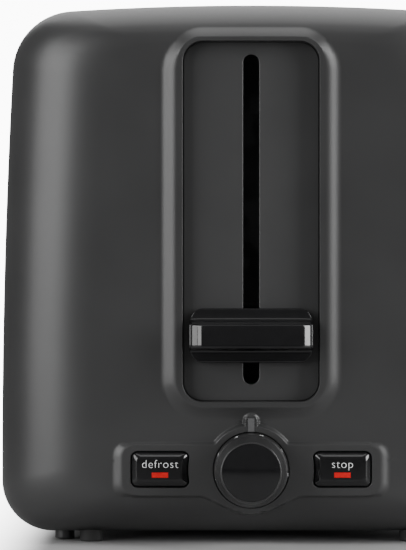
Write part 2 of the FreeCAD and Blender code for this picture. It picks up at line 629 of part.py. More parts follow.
def mica_ends():
    return CHAMBER_FRONT + SHEET + MICA_END_GAP, CHAMBER_REAR - SHEET - MICA_END_GAP


def ribbon_heights():
    return [RIBBON_FIRST + RIBBON_PITCH * i for i in range(RIBBON_COUNT)]


def make_mica_board(x):
    """Insulating sheet with winding notches down each end and tabs into the bulkheads."""
    (y0, y1), half, notch = mica_ends(), MICA_THICK / 2, 1.0
    parts = [box(x - half, x + half, y0, y1, MICA_LOW, MICA_HIGH)]
    for z in MICA_TAB_Z:
        parts.append(box(x - half, x + half, CHAMBER_FRONT, CHAMBER_REAR, z, z + MICA_TAB_TALL))
    cuts = []
    for z in ribbon_heights():
        for y in (y0, y1):
            cuts.append(box(x - 1, x + 1, y - notch, y + notch, z - notch, z + notch))
    return join(parts).cut(cuts)


def make_heater_ribbon(x):
    """Flat loops wound round the board, seated in its notches."""
    (y0, y1), half = mica_ends(), MICA_THICK / 2
    y0, y1, thick, tall = y0 + 1.0, y1 - 1.0, RIBBON_THICK, RIBBON_TALL / 2
    loops = []
    for z in ribbon_heights():
        loop = box(x - half - thick, x + half + thick, y0 - thick, y1 + thick, z - tall, z + tall)
        loops.append(loop.cut(box(x - half, x + half, y0, y1, z - 1, z + 1)))
    return Part.makeCompound(loops)


def guard_places():
    """Name, x and lean of each wire grid; every grid leans towards the middle of its slot."""
    return [
        ("left_outer", -BREAD_X - GUARD_OFFSET, GUARD_TILT),
        ("left_inner", -BREAD_X + GUARD_OFFSET, -GUARD_TILT),
        ("right_inner", BREAD_X - GUARD_OFFSET, GUARD_TILT),
        ("right_outer", BREAD_X + GUARD_OFFSET, -GUARD_TILT),
    ]


def make_guard(x, tilt):
    """Wire grid that turns on its lower rod, with a short crank in front of the bulkhead."""
    y0, y1, through, rail = CHAMBER_FRONT + 4.5, CHAMBER_REAR - 4.5, 3.0, 0.9
    base = GUARD_PIVOT_Z
    length = CHAMBER_REAR - CHAMBER_FRONT + 2 * through
    parts = [rod(GUARD_PIVOT_RADIUS, (x, CHAMBER_FRONT - through, base), BACK, length)]
    parts.append(rod(rail, (x, y0, GUARD_TOP_Z), BACK, y1 - y0))
    for y in spread(y0 + 2, y1 - 2, GUARD_WIRES):
        parts.append(rod(GUARD_WIRE, (x, y, base), UP, GUARD_TOP_Z - base))
    crank_y = CHAMBER_FRONT - through
    parts.append(box(x - 1, x + 1, crank_y - 0.4, crank_y + 1.6, base - 7, base))
    grid = join(parts)
    grid.rotate(V(x, 0, base), BACK, tilt)
    return grid


# ---- carriage and guides --------------------------------------------------------------
def make_carriage():
    """Bent plate with two ears for the guide bushes, and the arm that reaches the lever."""
    y0, thick, arm_half = CARRIAGE_Y, CARRIAGE_THICK, 1.5
    latch_y, latch_z = ROD_Y - 17, RACK_Z - 5
    parts = [
        box(-CARRIAGE_HALF, CARRIAGE_HALF, y0, y0 + thick, RACK_Z - 5, RACK_Z + 7),
        box(-EAR_HALF, EAR_HALF, y0, y0 + thick, RACK_Z, EAR_Z[1] + thick),
        box(-arm_half, arm_half, FRONT + 5.5, y0 + 0.1, LEVER_Z - 7, LEVER_Z + 7),
        box(-arm_half, arm_half, FRONT - 6.0, FRONT + 5.6, LEVER_Z - 3, LEVER_Z + 3),
        box(-9, 9, latch_y, y0 + 0.1, latch_z, latch_z + 1.6),
    ]
    for z in EAR_Z:
        parts.append(box(-EAR_HALF, EAR_HALF, ROD_Y - 8, y0 + 0.1, z, z + thick))
    cuts = []
    for sign in SIDES:
        cuts.append(rod(BUSH_RADIUS, (sign * ROD_X, ROD_Y, 0), UP, 150))
        cuts.append(rod(1.3, (sign * SPRING_X, y0 - 1, SPRING_LOW), BACK, 4))
    return join(parts).cut(cuts)


def make_bushes():
    found = []
    for sign in SIDES:
        for z in EAR_Z:
            low = z + CARRIAGE_THICK / 2 - BUSH_LENGTH / 2
            bush = rod(BUSH_RADIUS, (sign * ROD_X, ROD_Y, low), UP, BUSH_LENGTH)
            bore = rod(ROD_RADIUS + BUSH_CLEARANCE, (sign * ROD_X, ROD_Y, low - 1), UP, 20)
            found.append(bush.cut(bore))
    return Part.makeCompound(found)


def make_bread_rack(x):
    """Pressed strip that carries the slice, with cross teeth and an arm at each end."""
    y0, y1, sheet = CHAMBER_FRONT + 6, CHAMBER_REAR - 6, 0.8
    front = CARRIAGE_Y + CARRIAGE_THICK
    parts = [
        box(x - 1, x + 1, front, CHAMBER_REAR + 6, RACK_Z - 4, RACK_Z - 0.1),
        box(x - RACK_HALF, x + RACK_HALF, y0, y1, RACK_Z - sheet, RACK_Z),
    ]
    teeth = spread(y0 + 6, y1 - 6, RACK_TEETH)
    for y in teeth:
        parts.append(box(x - RACK_HALF, x + RACK_HALF, y - 0.5, y + 0.5, RACK_Z - 0.1, RACK_Z + 2.2))
    holes = []
    for a, b in zip(teeth, teeth[1:]):
        for side in SIDES:
            holes.append(rod(1.9, (x + side * 4, (a + b) / 2, RACK_Z - 3), UP, 6))
    return join(parts).cut(holes)


def make_armature():
    """Soft iron plate under the carriage's latch arm; the magnet holds it."""
    return box(-8, 8, ROD_Y - 16, ROD_Y - 1, RACK_Z - 7, RACK_Z - 5)


def make_guide_rods():
    height = BRIDGE_Z - BASE_TOP
    return Part.makeCompound([rod(ROD_RADIUS, (s * ROD_X, ROD_Y, BASE_TOP), UP, height) for s in SIDES])


def make_rod_bridge():
    """Upper plate that steadies both guide rods and holds the upper end of both springs."""
    z, hook = BRIDGE_Z, 0.8
    plate = box(-42, 42, ROD_Y - 6, CHAMBER_FRONT, z - BRIDGE_THICK, z)
    pins = [rod(hook, (s * SPRING_X, SPRING_Y, SPRING_HIGH + 0.6), UP, z - SPRING_HIGH - 1) for s in SIDES]
    holes = [rod(ROD_RADIUS, (s * ROD_X, ROD_Y, z - 5), UP, 10) for s in SIDES]
    return join([plate] + pins).cut(holes)


def make_return_spring(sign):
    """Extension spring, drawn out while the carriage is down."""
    length = SPRING_HIGH - SPRING_LOW
    helix = Part.makeHelix(length / SPRING_TURNS, length, SPRING_RADIUS)
    ring = Part.Wire(Part.makeCircle(SPRING_WIRE, V(SPRING_RADIUS, 0, 0), BACK))
    coil = Part.Wire(helix).makePipeShell([ring], True, True)
    coil.translate(V(sign * SPRING_X, SPRING_Y, SPRING_LOW))
    return coil


def make_magnet_core():
    """Iron frame that stands on the base, with a round core up the middle of the coil."""
    bridge_z, half = 16.0, 7.0
    y0, y1 = MAGNET_Y - half, MAGNET_Y + half
    legs = [box(s * 9 - 1, s * 9 + 1, y0, y1, BASE_TOP, bridge_z + 1) for s in SIDES]
    bridge = box(-10, 10, y0, y1, bridge_z, bridge_z + 2)
    core = rod(3.5, (0, MAGNET_Y, bridge_z + 1), UP, MAGNET_TOP - bridge_z - 1)
    return join(legs + [bridge, core])


def make_magnet_coil():
    """Wound coil; shallow grooves part its layers."""
    low, high, outer = 18.1, MAGNET_TOP - 1.4, 7.5
    coil = rod(outer, (0, MAGNET_Y, low), UP, high - low)
    cuts = [rod(3.6, (0, MAGNET_Y, 0), UP, 60)]
    for z in spread(low + 1.6, high - 2.1, 5):
        ring = rod(outer + 0.5, (0, MAGNET_Y, z), UP, 0.5)
        cuts.append(ring.cut(rod(outer - 0.4, (0, MAGNET_Y, z), UP, 0.5)))
    return coil.cut(cuts)


# ---- rear end, tray and feet ----------------------------------------------------------
def handle_space(gap):
    """Block at the foot of the rear cap that the tray's handle fills."""
    wide, y0 = HANDLE_HALF + gap, REAR - HANDLE_DEPTH - gap
    return box(-wide, wide, y0, REAR + 2, -1, HANDLE_TOP + gap)


def make_rear_cap(feet):
    shell = pillow(REAR, -1, 0.0).cut(cap_cavity(REAR, -1))
    cuts = [rod(GLAND_RADIUS, (GLAND_X, REAR + 1, GLAND_Z), V(0, -1, 0), 8), handle_space(HANDLE_GAP)]
    vent_half, vent_tall = 30.0, 3.0
    for z in spread(60.0, 96.0, 5):
        cuts.append(
            rect_prism(-vent_half, vent_half, z, z + vent_tall, vent_tall / 2 - 0.05, REAR - 6, REAR + 2)
        )
    return cut_cap_underside(shell.cut(cuts), feet)


def make_cord_gland():
    """Sleeve for the cord in the rear wall, with a collar behind the wall."""
    sleeve = rod(GLAND_RADIUS, (GLAND_X, REAR - 10, GLAND_Z), BACK, 10.0)
    collar = rod(GLAND_RADIUS + 1.6, (GLAND_X, REAR - CAP_WALL - 3, GLAND_Z), BACK, 3.0)
    return join([sleeve, collar]).cut(rod(GLAND_BORE, (GLAND_X, REAR - 12, GLAND_Z), BACK, 14))


def make_terminal_block():
    """Ceramic block with three screw wells, on a post that clears the tray."""
    y0, y1 = TERMINAL_Y, TERMINAL_Y + 12
    block = box(24, 56, y0, y1, 24, 34)
    shelf = box(55, 62, y0 + 3, y1 - 3, 24, 26)
    post = box(59, 62, y0 + 3, y1 - 3, BASE_TOP, 24.1)
    wells = [rod(2.2, (x, y0 + 6, 30), UP, 6) for x in spread(30, 50, 3)]
    return join([block, shelf, post]).cut(wells)


def lead(z):
    """Insulated lead from the terminal block, along the cool side gap, to the main switch."""
    bend, near = LEAD_BEND, LEAD_X - LEAD_BEND
    y_rear, y_front = TERMINAL_Y + 6, BOARD_BACK + 7
    corner_rear, corner_front = V(near, y_rear - bend, z), V(near, y_front + bend, z)

    def quarter(centre, start_angle):
        rim = centre + V(bend * math.cos(start_angle), bend * math.sin(start_angle), 0)
        tangent = V(-math.sin(start_angle), math.cos(start_angle), 0)
        disc = Part.Face(Part.Wire(Part.makeCircle(LEAD_RADIUS, rim, tangent)))
        return disc.revolve(centre, UP, 90)

    run = corner_rear.y - corner_front.y
    return join(
        [
            rod(LEAD_RADIUS, (56, y_rear, z), RIGHT, near - 56),
            quarter(corner_rear, 0.0),
            rod(LEAD_RADIUS, (LEAD_X, corner_front.y, z), BACK, run),
            quarter(corner_front, -math.pi / 2),
            rod(LEAD_RADIUS, (CONTACT_X1, y_front, z), RIGHT, near - CONTACT_X1),
        ]
    )


def make_feet():
    """Rubber pads with a stem through the cap floor."""
    pads = []
    for x in (-FOOT_X, FOOT_X):
        for y in (FRONT + FOOT_SETBACK, REAR - FOOT_SETBACK):
            stem = rod(FOOT_STEM, (x, y, 1.8), UP, CAP_FLOOR + 1 - 1.8)
            pads.append(join([rod(FOOT_RADIUS, (x, y, 0), UP, 2.6), stem]))
    return pads


def make_cleats(caps):
    """Small posts beside the feet, clear of the surface the toaster stands on."""
    posts = []
    for x in (-CLEAT_X, CLEAT_X):
        for y in (FRONT + CLEAT_SETBACK, REAR - CLEAT_SETBACK):
            posts.append(largest(rod(CLEAT_RADIUS, (x, y, 0.4), UP, 5.0).cut(caps)))
    return Part.makeCompound(posts)


def make_crumb_tray():
    t = TRAY_SHEET
    outer = box(-TRAY_HALF, TRAY_HALF, TRAY_FRONT, TRAY_BACK, TRAY_FLOOR_Z, TRAY_RIM_Z)
    wide = TRAY_HALF - t
    return outer.cut(box(-wide, wide, TRAY_FRONT + t, TRAY_BACK - t, TRAY_FLOOR_Z + t, 30))


def make_tray_handle():
    """Foot of the rear cap that closes the tray opening, hollowed below for the fingers."""
    outer = pillow(REAR, -1, 0.0)
    skin = outer.cut(cap_cavity(REAR, -1)).common(handle_space(0.0))
    rib = box(-30, 30, TRAY_BACK, REAR - 1, TRAY_FLOOR_Z + 0.8, TRAY_RIM_Z - 1).common(outer)
    finger_hollow = rod(14.0, (0, REAR + 9, -8), UP, 17)
    return join([skin, rib]).cut(finger_hollow)


def make_screws(places, low, head_tall, length):
    """Round-headed screws driven upwards, with the underside of the head's edge at low."""
    found = []
    for x, y in places:
        head = rod(SCREW_HEAD, (x, y, low), UP, head_tall)
        found.append(join([head, rod(SCREW_SHANK, (x, y, low + head_tall - 0.1), UP, length)]))
    return Part.makeCompound(found)


# ---- build and write ------------------------------------------------------------------
def build_control_end(nodes, feet):
    cap = make_front_cap(feet)
    nodes["front_cap"] = cap
    nodes["slot_panel"] = make_slot_panel(cap)
    nodes["pointer_mark"] = make_pointer_mark()
    nodes["browning_knob"] = make_browning_knob()
    nodes["knob_face"] = make_knob_face()
    nodes["pot_shaft"] = make_pot_shaft()
    nodes["potentiometer"] = make_potentiometer()
    for name, sign in (("defrost", -1), ("stop", 1)):
        nodes[name + "_button"] = make_button(sign)
        nodes[name + "_lens"] = make_lens(sign)
    nodes["control_board"] = make_control_board()
    nodes["board_carrier"] = make_board_carrier(cap)
    nodes["board_screws"] = make_board_screws()
    nodes["board_parts"] = make_board_parts()
    nodes["tact_switches"] = make_tact_switches()
    nodes["indicator_leds"] = make_indicator_leds()
    nodes["contact_block"] = make_contact_block()


def build_chamber(nodes):
    nodes["outer_shell"] = make_outer_shell()
    nodes["top_deck"] = make_top_deck()
    nodes["base_plate"] = make_base_plate()
    nodes["front_bulkhead"] = make_bulkhead(CHAMBER_FRONT, 1, False)
    nodes["rear_bulkhead"] = make_bulkhead(CHAMBER_REAR, -1, True)
    nodes["side_reflector_left"] = make_upright_sheet(-REFLECTOR_X, 22.0, BULKHEAD_TOP)
    nodes["side_reflector_right"] = make_upright_sheet(REFLECTOR_X, 22.0, BULKHEAD_TOP)
    nodes["centre_baffle"] = make_upright_sheet(0.0, 26.0, 170.0)
    for name, x in MICA_X.items():
        nodes["mica_board_" + name] = make_mica_board(x)
        nodes["heater_ribbon_" + name] = make_heater_ribbon(x)
    for name, x, tilt in guard_places():
        nodes["bread_guard_" + name] = make_guard(x, tilt)


def build_carriage(nodes):
    carriage = make_carriage()
    nodes["carriage"] = carriage
    nodes["lever_knob"] = make_lever_knob(carriage)
    nodes["guide_bushes"] = make_bushes()
    nodes["bread_rack_left"] = make_bread_rack(-BREAD_X)
    nodes["bread_rack_right"] = make_bread_rack(BREAD_X)
    nodes["armature"] = make_armature()
    nodes["guide_rods"] = make_guide_rods()
    nodes["rod_bridge"] = make_rod_bridge()
    nodes["return_spring_left"] = make_return_spring(-1)
    nodes["return_spring_right"] = make_return_spring(1)
    nodes["magnet_core"] = make_magnet_core()
    nodes["magnet_coil"] = make_magnet_coil()


def build_rear_end(nodes, feet):
    nodes["rear_cap"] = make_rear_cap(feet)
    nodes["cord_gland"] = make_cord_gland()
    nodes["terminal_block"] = make_terminal_block()
    nodes["lead_wires"] = Part.makeCompound([lead(z) for z in LEAD_Z])
    nodes["crumb_tray"] = make_crumb_tray()
    nodes["tray_handle"] = make_tray_handle()
    nodes["rubber_feet"] = Part.makeCompound(feet)
    nodes["cord_cleats"] = make_cleats([nodes["front_cap"], nodes["rear_cap"]])
    nodes["bulkhead_screws"] = make_screws(bulkhead_screw_places(), BASE_Z, 0.9, 6.0)
    nodes["cap_screws"] = make_screws(cap_screw_places(), BODY_BOTTOM + 0.2, 1.0, 4.6)


def build():
    nodes = {}
    feet = make_feet()
    build_control_end(nodes, feet)
    build_chamber(nodes)
    build_carriage(nodes)
    build_rear_end(nodes, feet)
    return nodes


def main():
    os.makedirs("parts", exist_ok=True)
    for name, shape in build().items():
        solids = shape.Solids
        sound = all(s.isValid() and s.isClosed() and s.Volume > 0 for s in solids)
        print(name, len(solids), "solids", round(shape.Volume, 1), "mm3", "" if sound else "NOT SOUND")
        out = solids[0] if len(solids) == 1 else Part.makeCompound(solids)
        out.exportStep("parts/" + name + ".step")


main()
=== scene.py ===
"""Looks of a two-slot pop-up toaster, laid out as an add-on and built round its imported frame."""
import json
import math

import bmesh
import bpy
import numpy as np
from bpy.props import BoolProperty, FloatProperty, FloatVectorProperty, IntProperty, PointerProperty
from mathutils import Matrix, Vector
from mathutils.geometry import delaunay_2d_cdt


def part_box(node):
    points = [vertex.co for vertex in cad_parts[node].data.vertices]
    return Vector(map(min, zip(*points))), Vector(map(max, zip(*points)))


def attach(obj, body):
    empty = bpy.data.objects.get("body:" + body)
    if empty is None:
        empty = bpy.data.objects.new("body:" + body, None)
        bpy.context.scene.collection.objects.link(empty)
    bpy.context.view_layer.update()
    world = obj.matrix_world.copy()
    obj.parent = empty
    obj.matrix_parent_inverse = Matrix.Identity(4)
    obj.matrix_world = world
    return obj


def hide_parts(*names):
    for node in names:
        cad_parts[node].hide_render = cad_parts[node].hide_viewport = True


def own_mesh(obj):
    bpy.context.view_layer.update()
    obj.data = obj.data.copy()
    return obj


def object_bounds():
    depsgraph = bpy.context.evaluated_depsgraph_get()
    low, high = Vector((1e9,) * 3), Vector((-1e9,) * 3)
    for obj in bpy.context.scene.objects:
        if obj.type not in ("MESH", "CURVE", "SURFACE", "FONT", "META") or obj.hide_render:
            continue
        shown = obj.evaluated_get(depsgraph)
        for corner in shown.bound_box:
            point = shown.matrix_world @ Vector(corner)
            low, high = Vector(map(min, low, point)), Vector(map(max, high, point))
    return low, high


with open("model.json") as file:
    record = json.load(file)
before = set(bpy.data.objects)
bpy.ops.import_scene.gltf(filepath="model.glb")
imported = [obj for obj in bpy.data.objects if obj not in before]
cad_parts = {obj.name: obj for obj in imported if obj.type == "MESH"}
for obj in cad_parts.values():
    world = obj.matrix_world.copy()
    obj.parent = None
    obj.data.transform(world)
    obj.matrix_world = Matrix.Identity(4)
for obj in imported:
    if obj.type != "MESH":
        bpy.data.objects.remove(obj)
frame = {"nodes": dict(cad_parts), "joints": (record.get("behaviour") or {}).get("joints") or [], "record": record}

bl_info = {
    "name": "Pop-up toaster",
    "version": (1, 0, 0),
    "blender": (4, 5, 0),
    "location": "3D View > Sidebar > Toaster",
    "description": "Builds the visible pieces and finishes of a two-slot toaster",
    "category": "Object",
}

MM = 0.001
QUARTER = math.pi / 2
CAD_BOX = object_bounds()
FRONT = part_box("outer_shell")[0].y - 34.2 * MM  # y of the flat face of the control end
REAR = CAD_BOX[1].y
KNOB_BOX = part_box("browning_knob")
KNOB_Z = (KNOB_BOX[0].z + KNOB_BOX[1].z) / 2


def length(name, description, default_mm):
    """A size in metres, given in millimetres."""
    return FloatProperty(name=name, description=description, default=default_mm * MM, unit="LENGTH")


def share(name, description, default):
    """A number from 0 to 1."""
    return FloatProperty(
        name=name, description=description, default=default, subtype="FACTOR", min=0, max=1
    )


def scale(name, description, default):
    """A number from 0 up, without a unit."""
    return FloatProperty(name=name, description=description, default=default, min=0)


def colour(name, description, default):
    return FloatVectorProperty(
        name=name, description=description, default=default, subtype="COLOR", size=3, min=0, max=1
    )


# ---- what a user would change ---------------------------------------------------------
class ToasterBody(bpy.types.PropertyGroup):
    """Outline of the body and rounding of its ends."""

    side_radius: length("Side radius", "Radius of the long arc of each side", 2585)
    widest: length("Widest height", "Height at which the body is widest", 28)
    dome_radius: length("Dome radius", "Radius of the top", 1000)
    top_corner: length("Top corner", "Corner radius at the top", 22)
    bottom_corner: length("Bottom corner", "Corner radius at the bottom", 18)
    round_side: length("Side rounding", "How far the end's rounding reaches in from each side", 34)
    round_top: length("Top rounding", "How far the end's rounding reaches down from the top", 15)
    round_bottom: length("Bottom rounding", "How far the end's rounding reaches up from the bottom", 16.5)
    round_depth: length("Rounding depth", "Depth of the end's rounding", 26)
    corner_shrink: length("Corner tightening", "How much tighter the corners are at the flat face", 8)
    cap_depth: length("Cap depth", "Depth of an end cap", 40)
    cap_lip: length("Cap lip", "Length of the lip over the metal wrap", 6)
    cap_wall: length("Cap wall", "Wall of an end cap", 2.5)
    lip_wall: length("Lip wall", "Wall of the lip", 1.5)


class ToasterControls(bpy.types.PropertyGroup):
    """Raised frame, control plate, lever, knob and buttons."""

    frame_half: length("Frame half width", "Half the width of the raised frame", 25.6)
    frame_low: length("Frame foot", "Lower edge of the raised frame", 48.4)
    frame_high: length("Frame head", "Upper edge of the raised frame", 177.2)
    frame_corner: length("Frame corner", "Corner radius of the raised frame", 8.7)
    frame_rim: length("Frame rim", "Width of the frame's flat rim", 1.85)
    frame_rise: length("Frame rise", "Height of the frame above the face", 2.0)
    frame_flank: length("Frame flank", "Width of the soft flank beside the frame", 6.2)
    frame_flank_top: length("Frame top flank", "Width of the flank above the frame", 3.7)
    frame_flank_low: length("Frame lower flank", "Width of the flank below the frame", 4.8)
    frame_head_reach: length("Head reach", "Height over which the head's flank takes over", 12)
    frame_foot_reach: length("Foot reach", "Height over which the foot's flank takes over", 10)
    slot_half: length("Slot half width", "Half the width of the lever's slot", 2.775)
    slot_low: length("Slot foot", "Lower end of the lever's slot", 56.2)
    slot_high: length("Slot head", "Upper end of the lever's slot", 170.9)
    plate_half: length("Plate half width", "Half the width of the control plate", 44.3)
    plate_low: length("Plate foot", "Lower edge of the control plate", 18.0)
    plate_high: length("Plate head", "Upper edge of the control plate", 35.2)
    plate_corner: length("Plate corner", "Corner radius of the control plate", 4.2)
    plate_rise: length("Plate rise", "Height of the control plate above the face", 1.3)
    plate_bend: length("Plate bend", "Where the plate's lower edge runs down to the bulge", 16.5)
    plate_blend: length("Plate blend", "Softening of the plate's inner corners", 0.6)
    plate_flank: length("Plate flank", "Width of the plate's flank", 1.3)
    plate_flank_end: length("Plate end flank", "Width of the flank at the plate's ends", 4.3)
    bulge: length("Bulge", "Radius of the plate round the knob", 15.1)
    well: length("Knob well", "Radius of the recess behind the knob", 13.24)
    tab_half: length("Tab half width", "Half the width of the pointer tab", 1.9)
    tab_top: length("Tab top", "Upper end of the pointer tab", 45.4)
    button_x: length("Button place", "Distance of each button from the middle", 31.6)
    button_z: length("Button height", "Height of the buttons' middle", 26.8)
    button_half: length("Button half width", "Half the width of a button's hole", 10.25)
    button_half_tall: length("Button half height", "Half the height of a button's hole", 6.35)
    button_corner: length("Button corner", "Corner radius of a button", 2.5)
    button_arc: length("Button hollow", "Radius, about the knob, of a button's hollow side", 21.8)
    button_bevel: length("Button bevel", "Width of a button's bevel", 1.9)
    numerals: IntProperty(
        name="Numerals", description="Browning steps on the knob", default=6, min=1, max=9
    )
    numeral_step: FloatProperty(
        name="Numeral step",
        description="Turn between two steps",
        default=math.radians(40),
        subtype="ANGLE",
    )
    legends: BoolProperty(name="Legends", description="Plain function words on the buttons", default=True)


class ToasterFinish(bpy.types.PropertyGroup):
    """Colours and surface textures."""

    case: colour("Case", "Charcoal moulding of the two ends", (0.0300, 0.0301, 0.0305))
    gloss: colour("Gloss black", "Lever, knob face and buttons", (0.006, 0.006, 0.0065))
    knob: colour("Knob", "Satin body of the browning knob", (0.024, 0.024, 0.0245))
    wrap: colour("Wrap", "Powder coat of the metal wrap", (0.0285, 0.0289, 0.0300))
    lens: colour("Lens", "Red bars on the buttons", (0.55, 0.003, 0.003))
    print_white: colour("Print", "Legends and numerals", (0.80, 0.81, 0.82))
    case_roughness: share("Case roughness", "Roughness of the case moulding", 0.36)
    grain: length("Grain", "Size of the moulding's grain", 0.45)


class ToasterStudio(bpy.types.PropertyGroup):
    """Lights and camera."""

    key: scale("Key", "Scale of the lights in front", 1)
    side: scale("Side", "Scale of the lights beside", 1)
    top: scale("Top", "Scale of the lights above", 1)
    fill: scale("Fill", "Strength of the surroundings", 0.18)
    backdrop: scale("Backdrop", "Brightness of the empty backdrop", 11)
    distance: length("Camera distance", "From the flat face to the camera", 1000)
    eye: length("Camera height", "Height of the camera", 94.2)
    lens: FloatProperty(name="Lens", description="Focal length in mm", default=188.6, min=1)
    shift: FloatProperty(name="Shift", description="Sideways shift of the frame", default=-0.0876)


# ---- meshes ---------------------------------------------------------------------------
def body_of_node(node_name):
    bodies = frame["record"]["behaviour"]["bodies"]
    return next(body for body, nodes in bodies.items() if node_name in nodes)


def slot_of_node(node_name):
    return next(s["material_slot"] for s in frame["record"]["subparts"] if s["node"] == node_name)


def finish_piece(piece, node_name):
    """Piece takes the place and the body of a CAD node, whose mesh it hides."""
    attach(piece, body_of_node(node_name))
    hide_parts(node_name)


def add_trim(piece, body):
    """Piece is extra detail on a body and replaces nothing."""
    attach(piece, body)


def new_object(name, mesh, material):
    mesh.name = name
    mesh.materials.clear()
    mesh.materials.append(material)
    piece = bpy.data.objects.new(name, mesh)
    bpy.context.scene.collection.objects.link(piece)
    return piece


def mesh_from(vertices, faces, weld=2e-6):
    """Mesh with doubles merged and normals outward."""
    mesh = bpy.data.meshes.new("mesh")
    mesh.from_pydata([tuple(map(float, v)) for v in vertices], [], faces)
    work = bmesh.new()
    work.from_mesh(mesh)
    bmesh.ops.remove_doubles(work, verts=work.verts, dist=weld)
    bmesh.ops.recalc_face_normals(work, faces=work.faces)
    work.to_mesh(mesh)
    work.free()
    return mesh


def smooth(mesh, degrees=38):
    """Smooth shading with sharp edges above an angle."""
    mesh.shade_smooth()
    mesh.set_sharp_from_angle(angle=math.radians(degrees))


def loft(rings, capped=True):
    """Vertices and faces of a tube through rings of equally many points, with its ends filled."""
    count = len(rings[0])
    vertices = [point for ring in rings for point in ring]
    faces = []
    for start in range(0, (len(rings) - 1) * count, count):
        for i in range(count):
            after = (i + 1) % count
            faces.append((start + i, start + after, start + count + after, start + count + i))
    if capped:
        faces.append(tuple(range(count)))
        faces.append(tuple(range((len(rings) - 1) * count, len(rings) * count)))
    return vertices, faces


def join_parts(parts):
    """One list of vertices and one of faces from several."""
    vertices, faces = [], []
    for some_vertices, some_faces in parts:
        start = len(vertices)
        vertices += list(some_vertices)
        faces += [tuple(start + i for i in face) for face in some_faces]
    return vertices, faces


def rounded_corner(before, corner, after, radius, steps):
    """Points of a fillet in the plane, or the corner itself where there is no radius."""
    if radius <= 0:
        return [corner]
    p, a, b = Vector(corner), Vector(before), Vector(after)
    to_a, to_b = (a - p).normalized(), (b - p).normalized()
    half = to_a.angle(to_b) / 2
    reach = radius / math.tan(half)
    centre = p + (to_a + to_b).normalized() * (radius / math.sin(half))
    start, end = p + to_a * reach - centre, p + to_b * reach - centre
    turns = (start.slerp(end, i / steps) for i in range(steps + 1))
    return [tuple(centre + turn.normalized() * radius) for turn in turns]


def filleted(points, steps=5):
    """Open path through (a, b, radius) points, with a fillet at each inner one."""
    path = [points[0][:2]]
    for before, here, after in zip(points, points[1:], points[2:]):
        path += rounded_corner(before[:2], here[:2], after[:2], here[2], steps)
    return path + [points[-1][:2]]


def between(a, b, pieces):
    """Points that part the line from a to b into equal pieces, without a and b themselves."""
    (ax, ay), (bx, by) = a, b
    return [(ax + (bx - ax) * k / pieces, ay + (by - ay) * k / pieces) for k in range(1, pieces)]


def subdivided(path, step):
    """Path with points added so that no piece is longer than step."""
    points = [path[0]]
    for a, b in zip(path, path[1:]):
        points += [*between(a, b, max(1, math.ceil(math.dist(a, b) / step))), b]
    return points


def circle_ring(radius, y, count=96):
    """Circle round the knob's axis, at a depth y."""
    angles = np.linspace(0, 2 * math.pi, count, endpoint=False)
    return [(radius * math.cos(a), y, KNOB_Z + radius * math.sin(a)) for a in angles]


def upright_ring(radius, z, x, y, count=48):
    """Circle round an upright axis, at a height z."""
    angles = np.linspace(0, 2 * math.pi, count, endpoint=False)
    return [(x + radius * math.cos(a), y + radius * math.sin(a), z) for a in angles]


def rect_loop(x0, x1, z0, z1, radius, across=12, along=38, arc_steps=9):
    """Rounded rectangle as an anticlockwise loop of (x, z) points, always equally many."""
    points = []
    corners = [(x1 - radius, z0 + radius, -90), (x1 - radius, z1 - radius, 0)]
    corners += [(x0 + radius, z1 - radius, 90), (x0 + radius, z0 + radius, 180)]
    for i, (cx, cz, start) in enumerate(corners):
        for a in np.radians(np.linspace(start, start + 90, arc_steps + 1)):
            points.append((cx + radius * math.cos(a), cz + radius * math.sin(a)))
        next_x, next_z, _ = corners[(i + 1) % 4]
        turn = math.radians(start + 90)
        out_x, out_z = radius * math.cos(turn), radius * math.sin(turn)
        side_start, side_end = (cx + out_x, cz + out_z), (next_x + out_x, next_z + out_z)
        points += between(side_start, side_end, across if i % 2 else along)
    return points


def rect_gap(x, z, x0, x1, z0, z1, radius):
    """Distance outside a rounded rectangle; negative inside."""
    qx = np.abs(x - (x0 + x1) / 2) - (x1 - x0) / 2 + radius
    qz = np.abs(z - (z0 + z1) / 2) - (z1 - z0) / 2 + radius
    outside = np.hypot(np.maximum(qx, 0), np.maximum(qz, 0))
    return outside + np.minimum(np.maximum(qx, qz), 0) - radius


def ease(t):
    """Soft step from 0 to 1."""
    t = np.clip(t, 0, 1)
    return t * t * (3 - 2 * t)


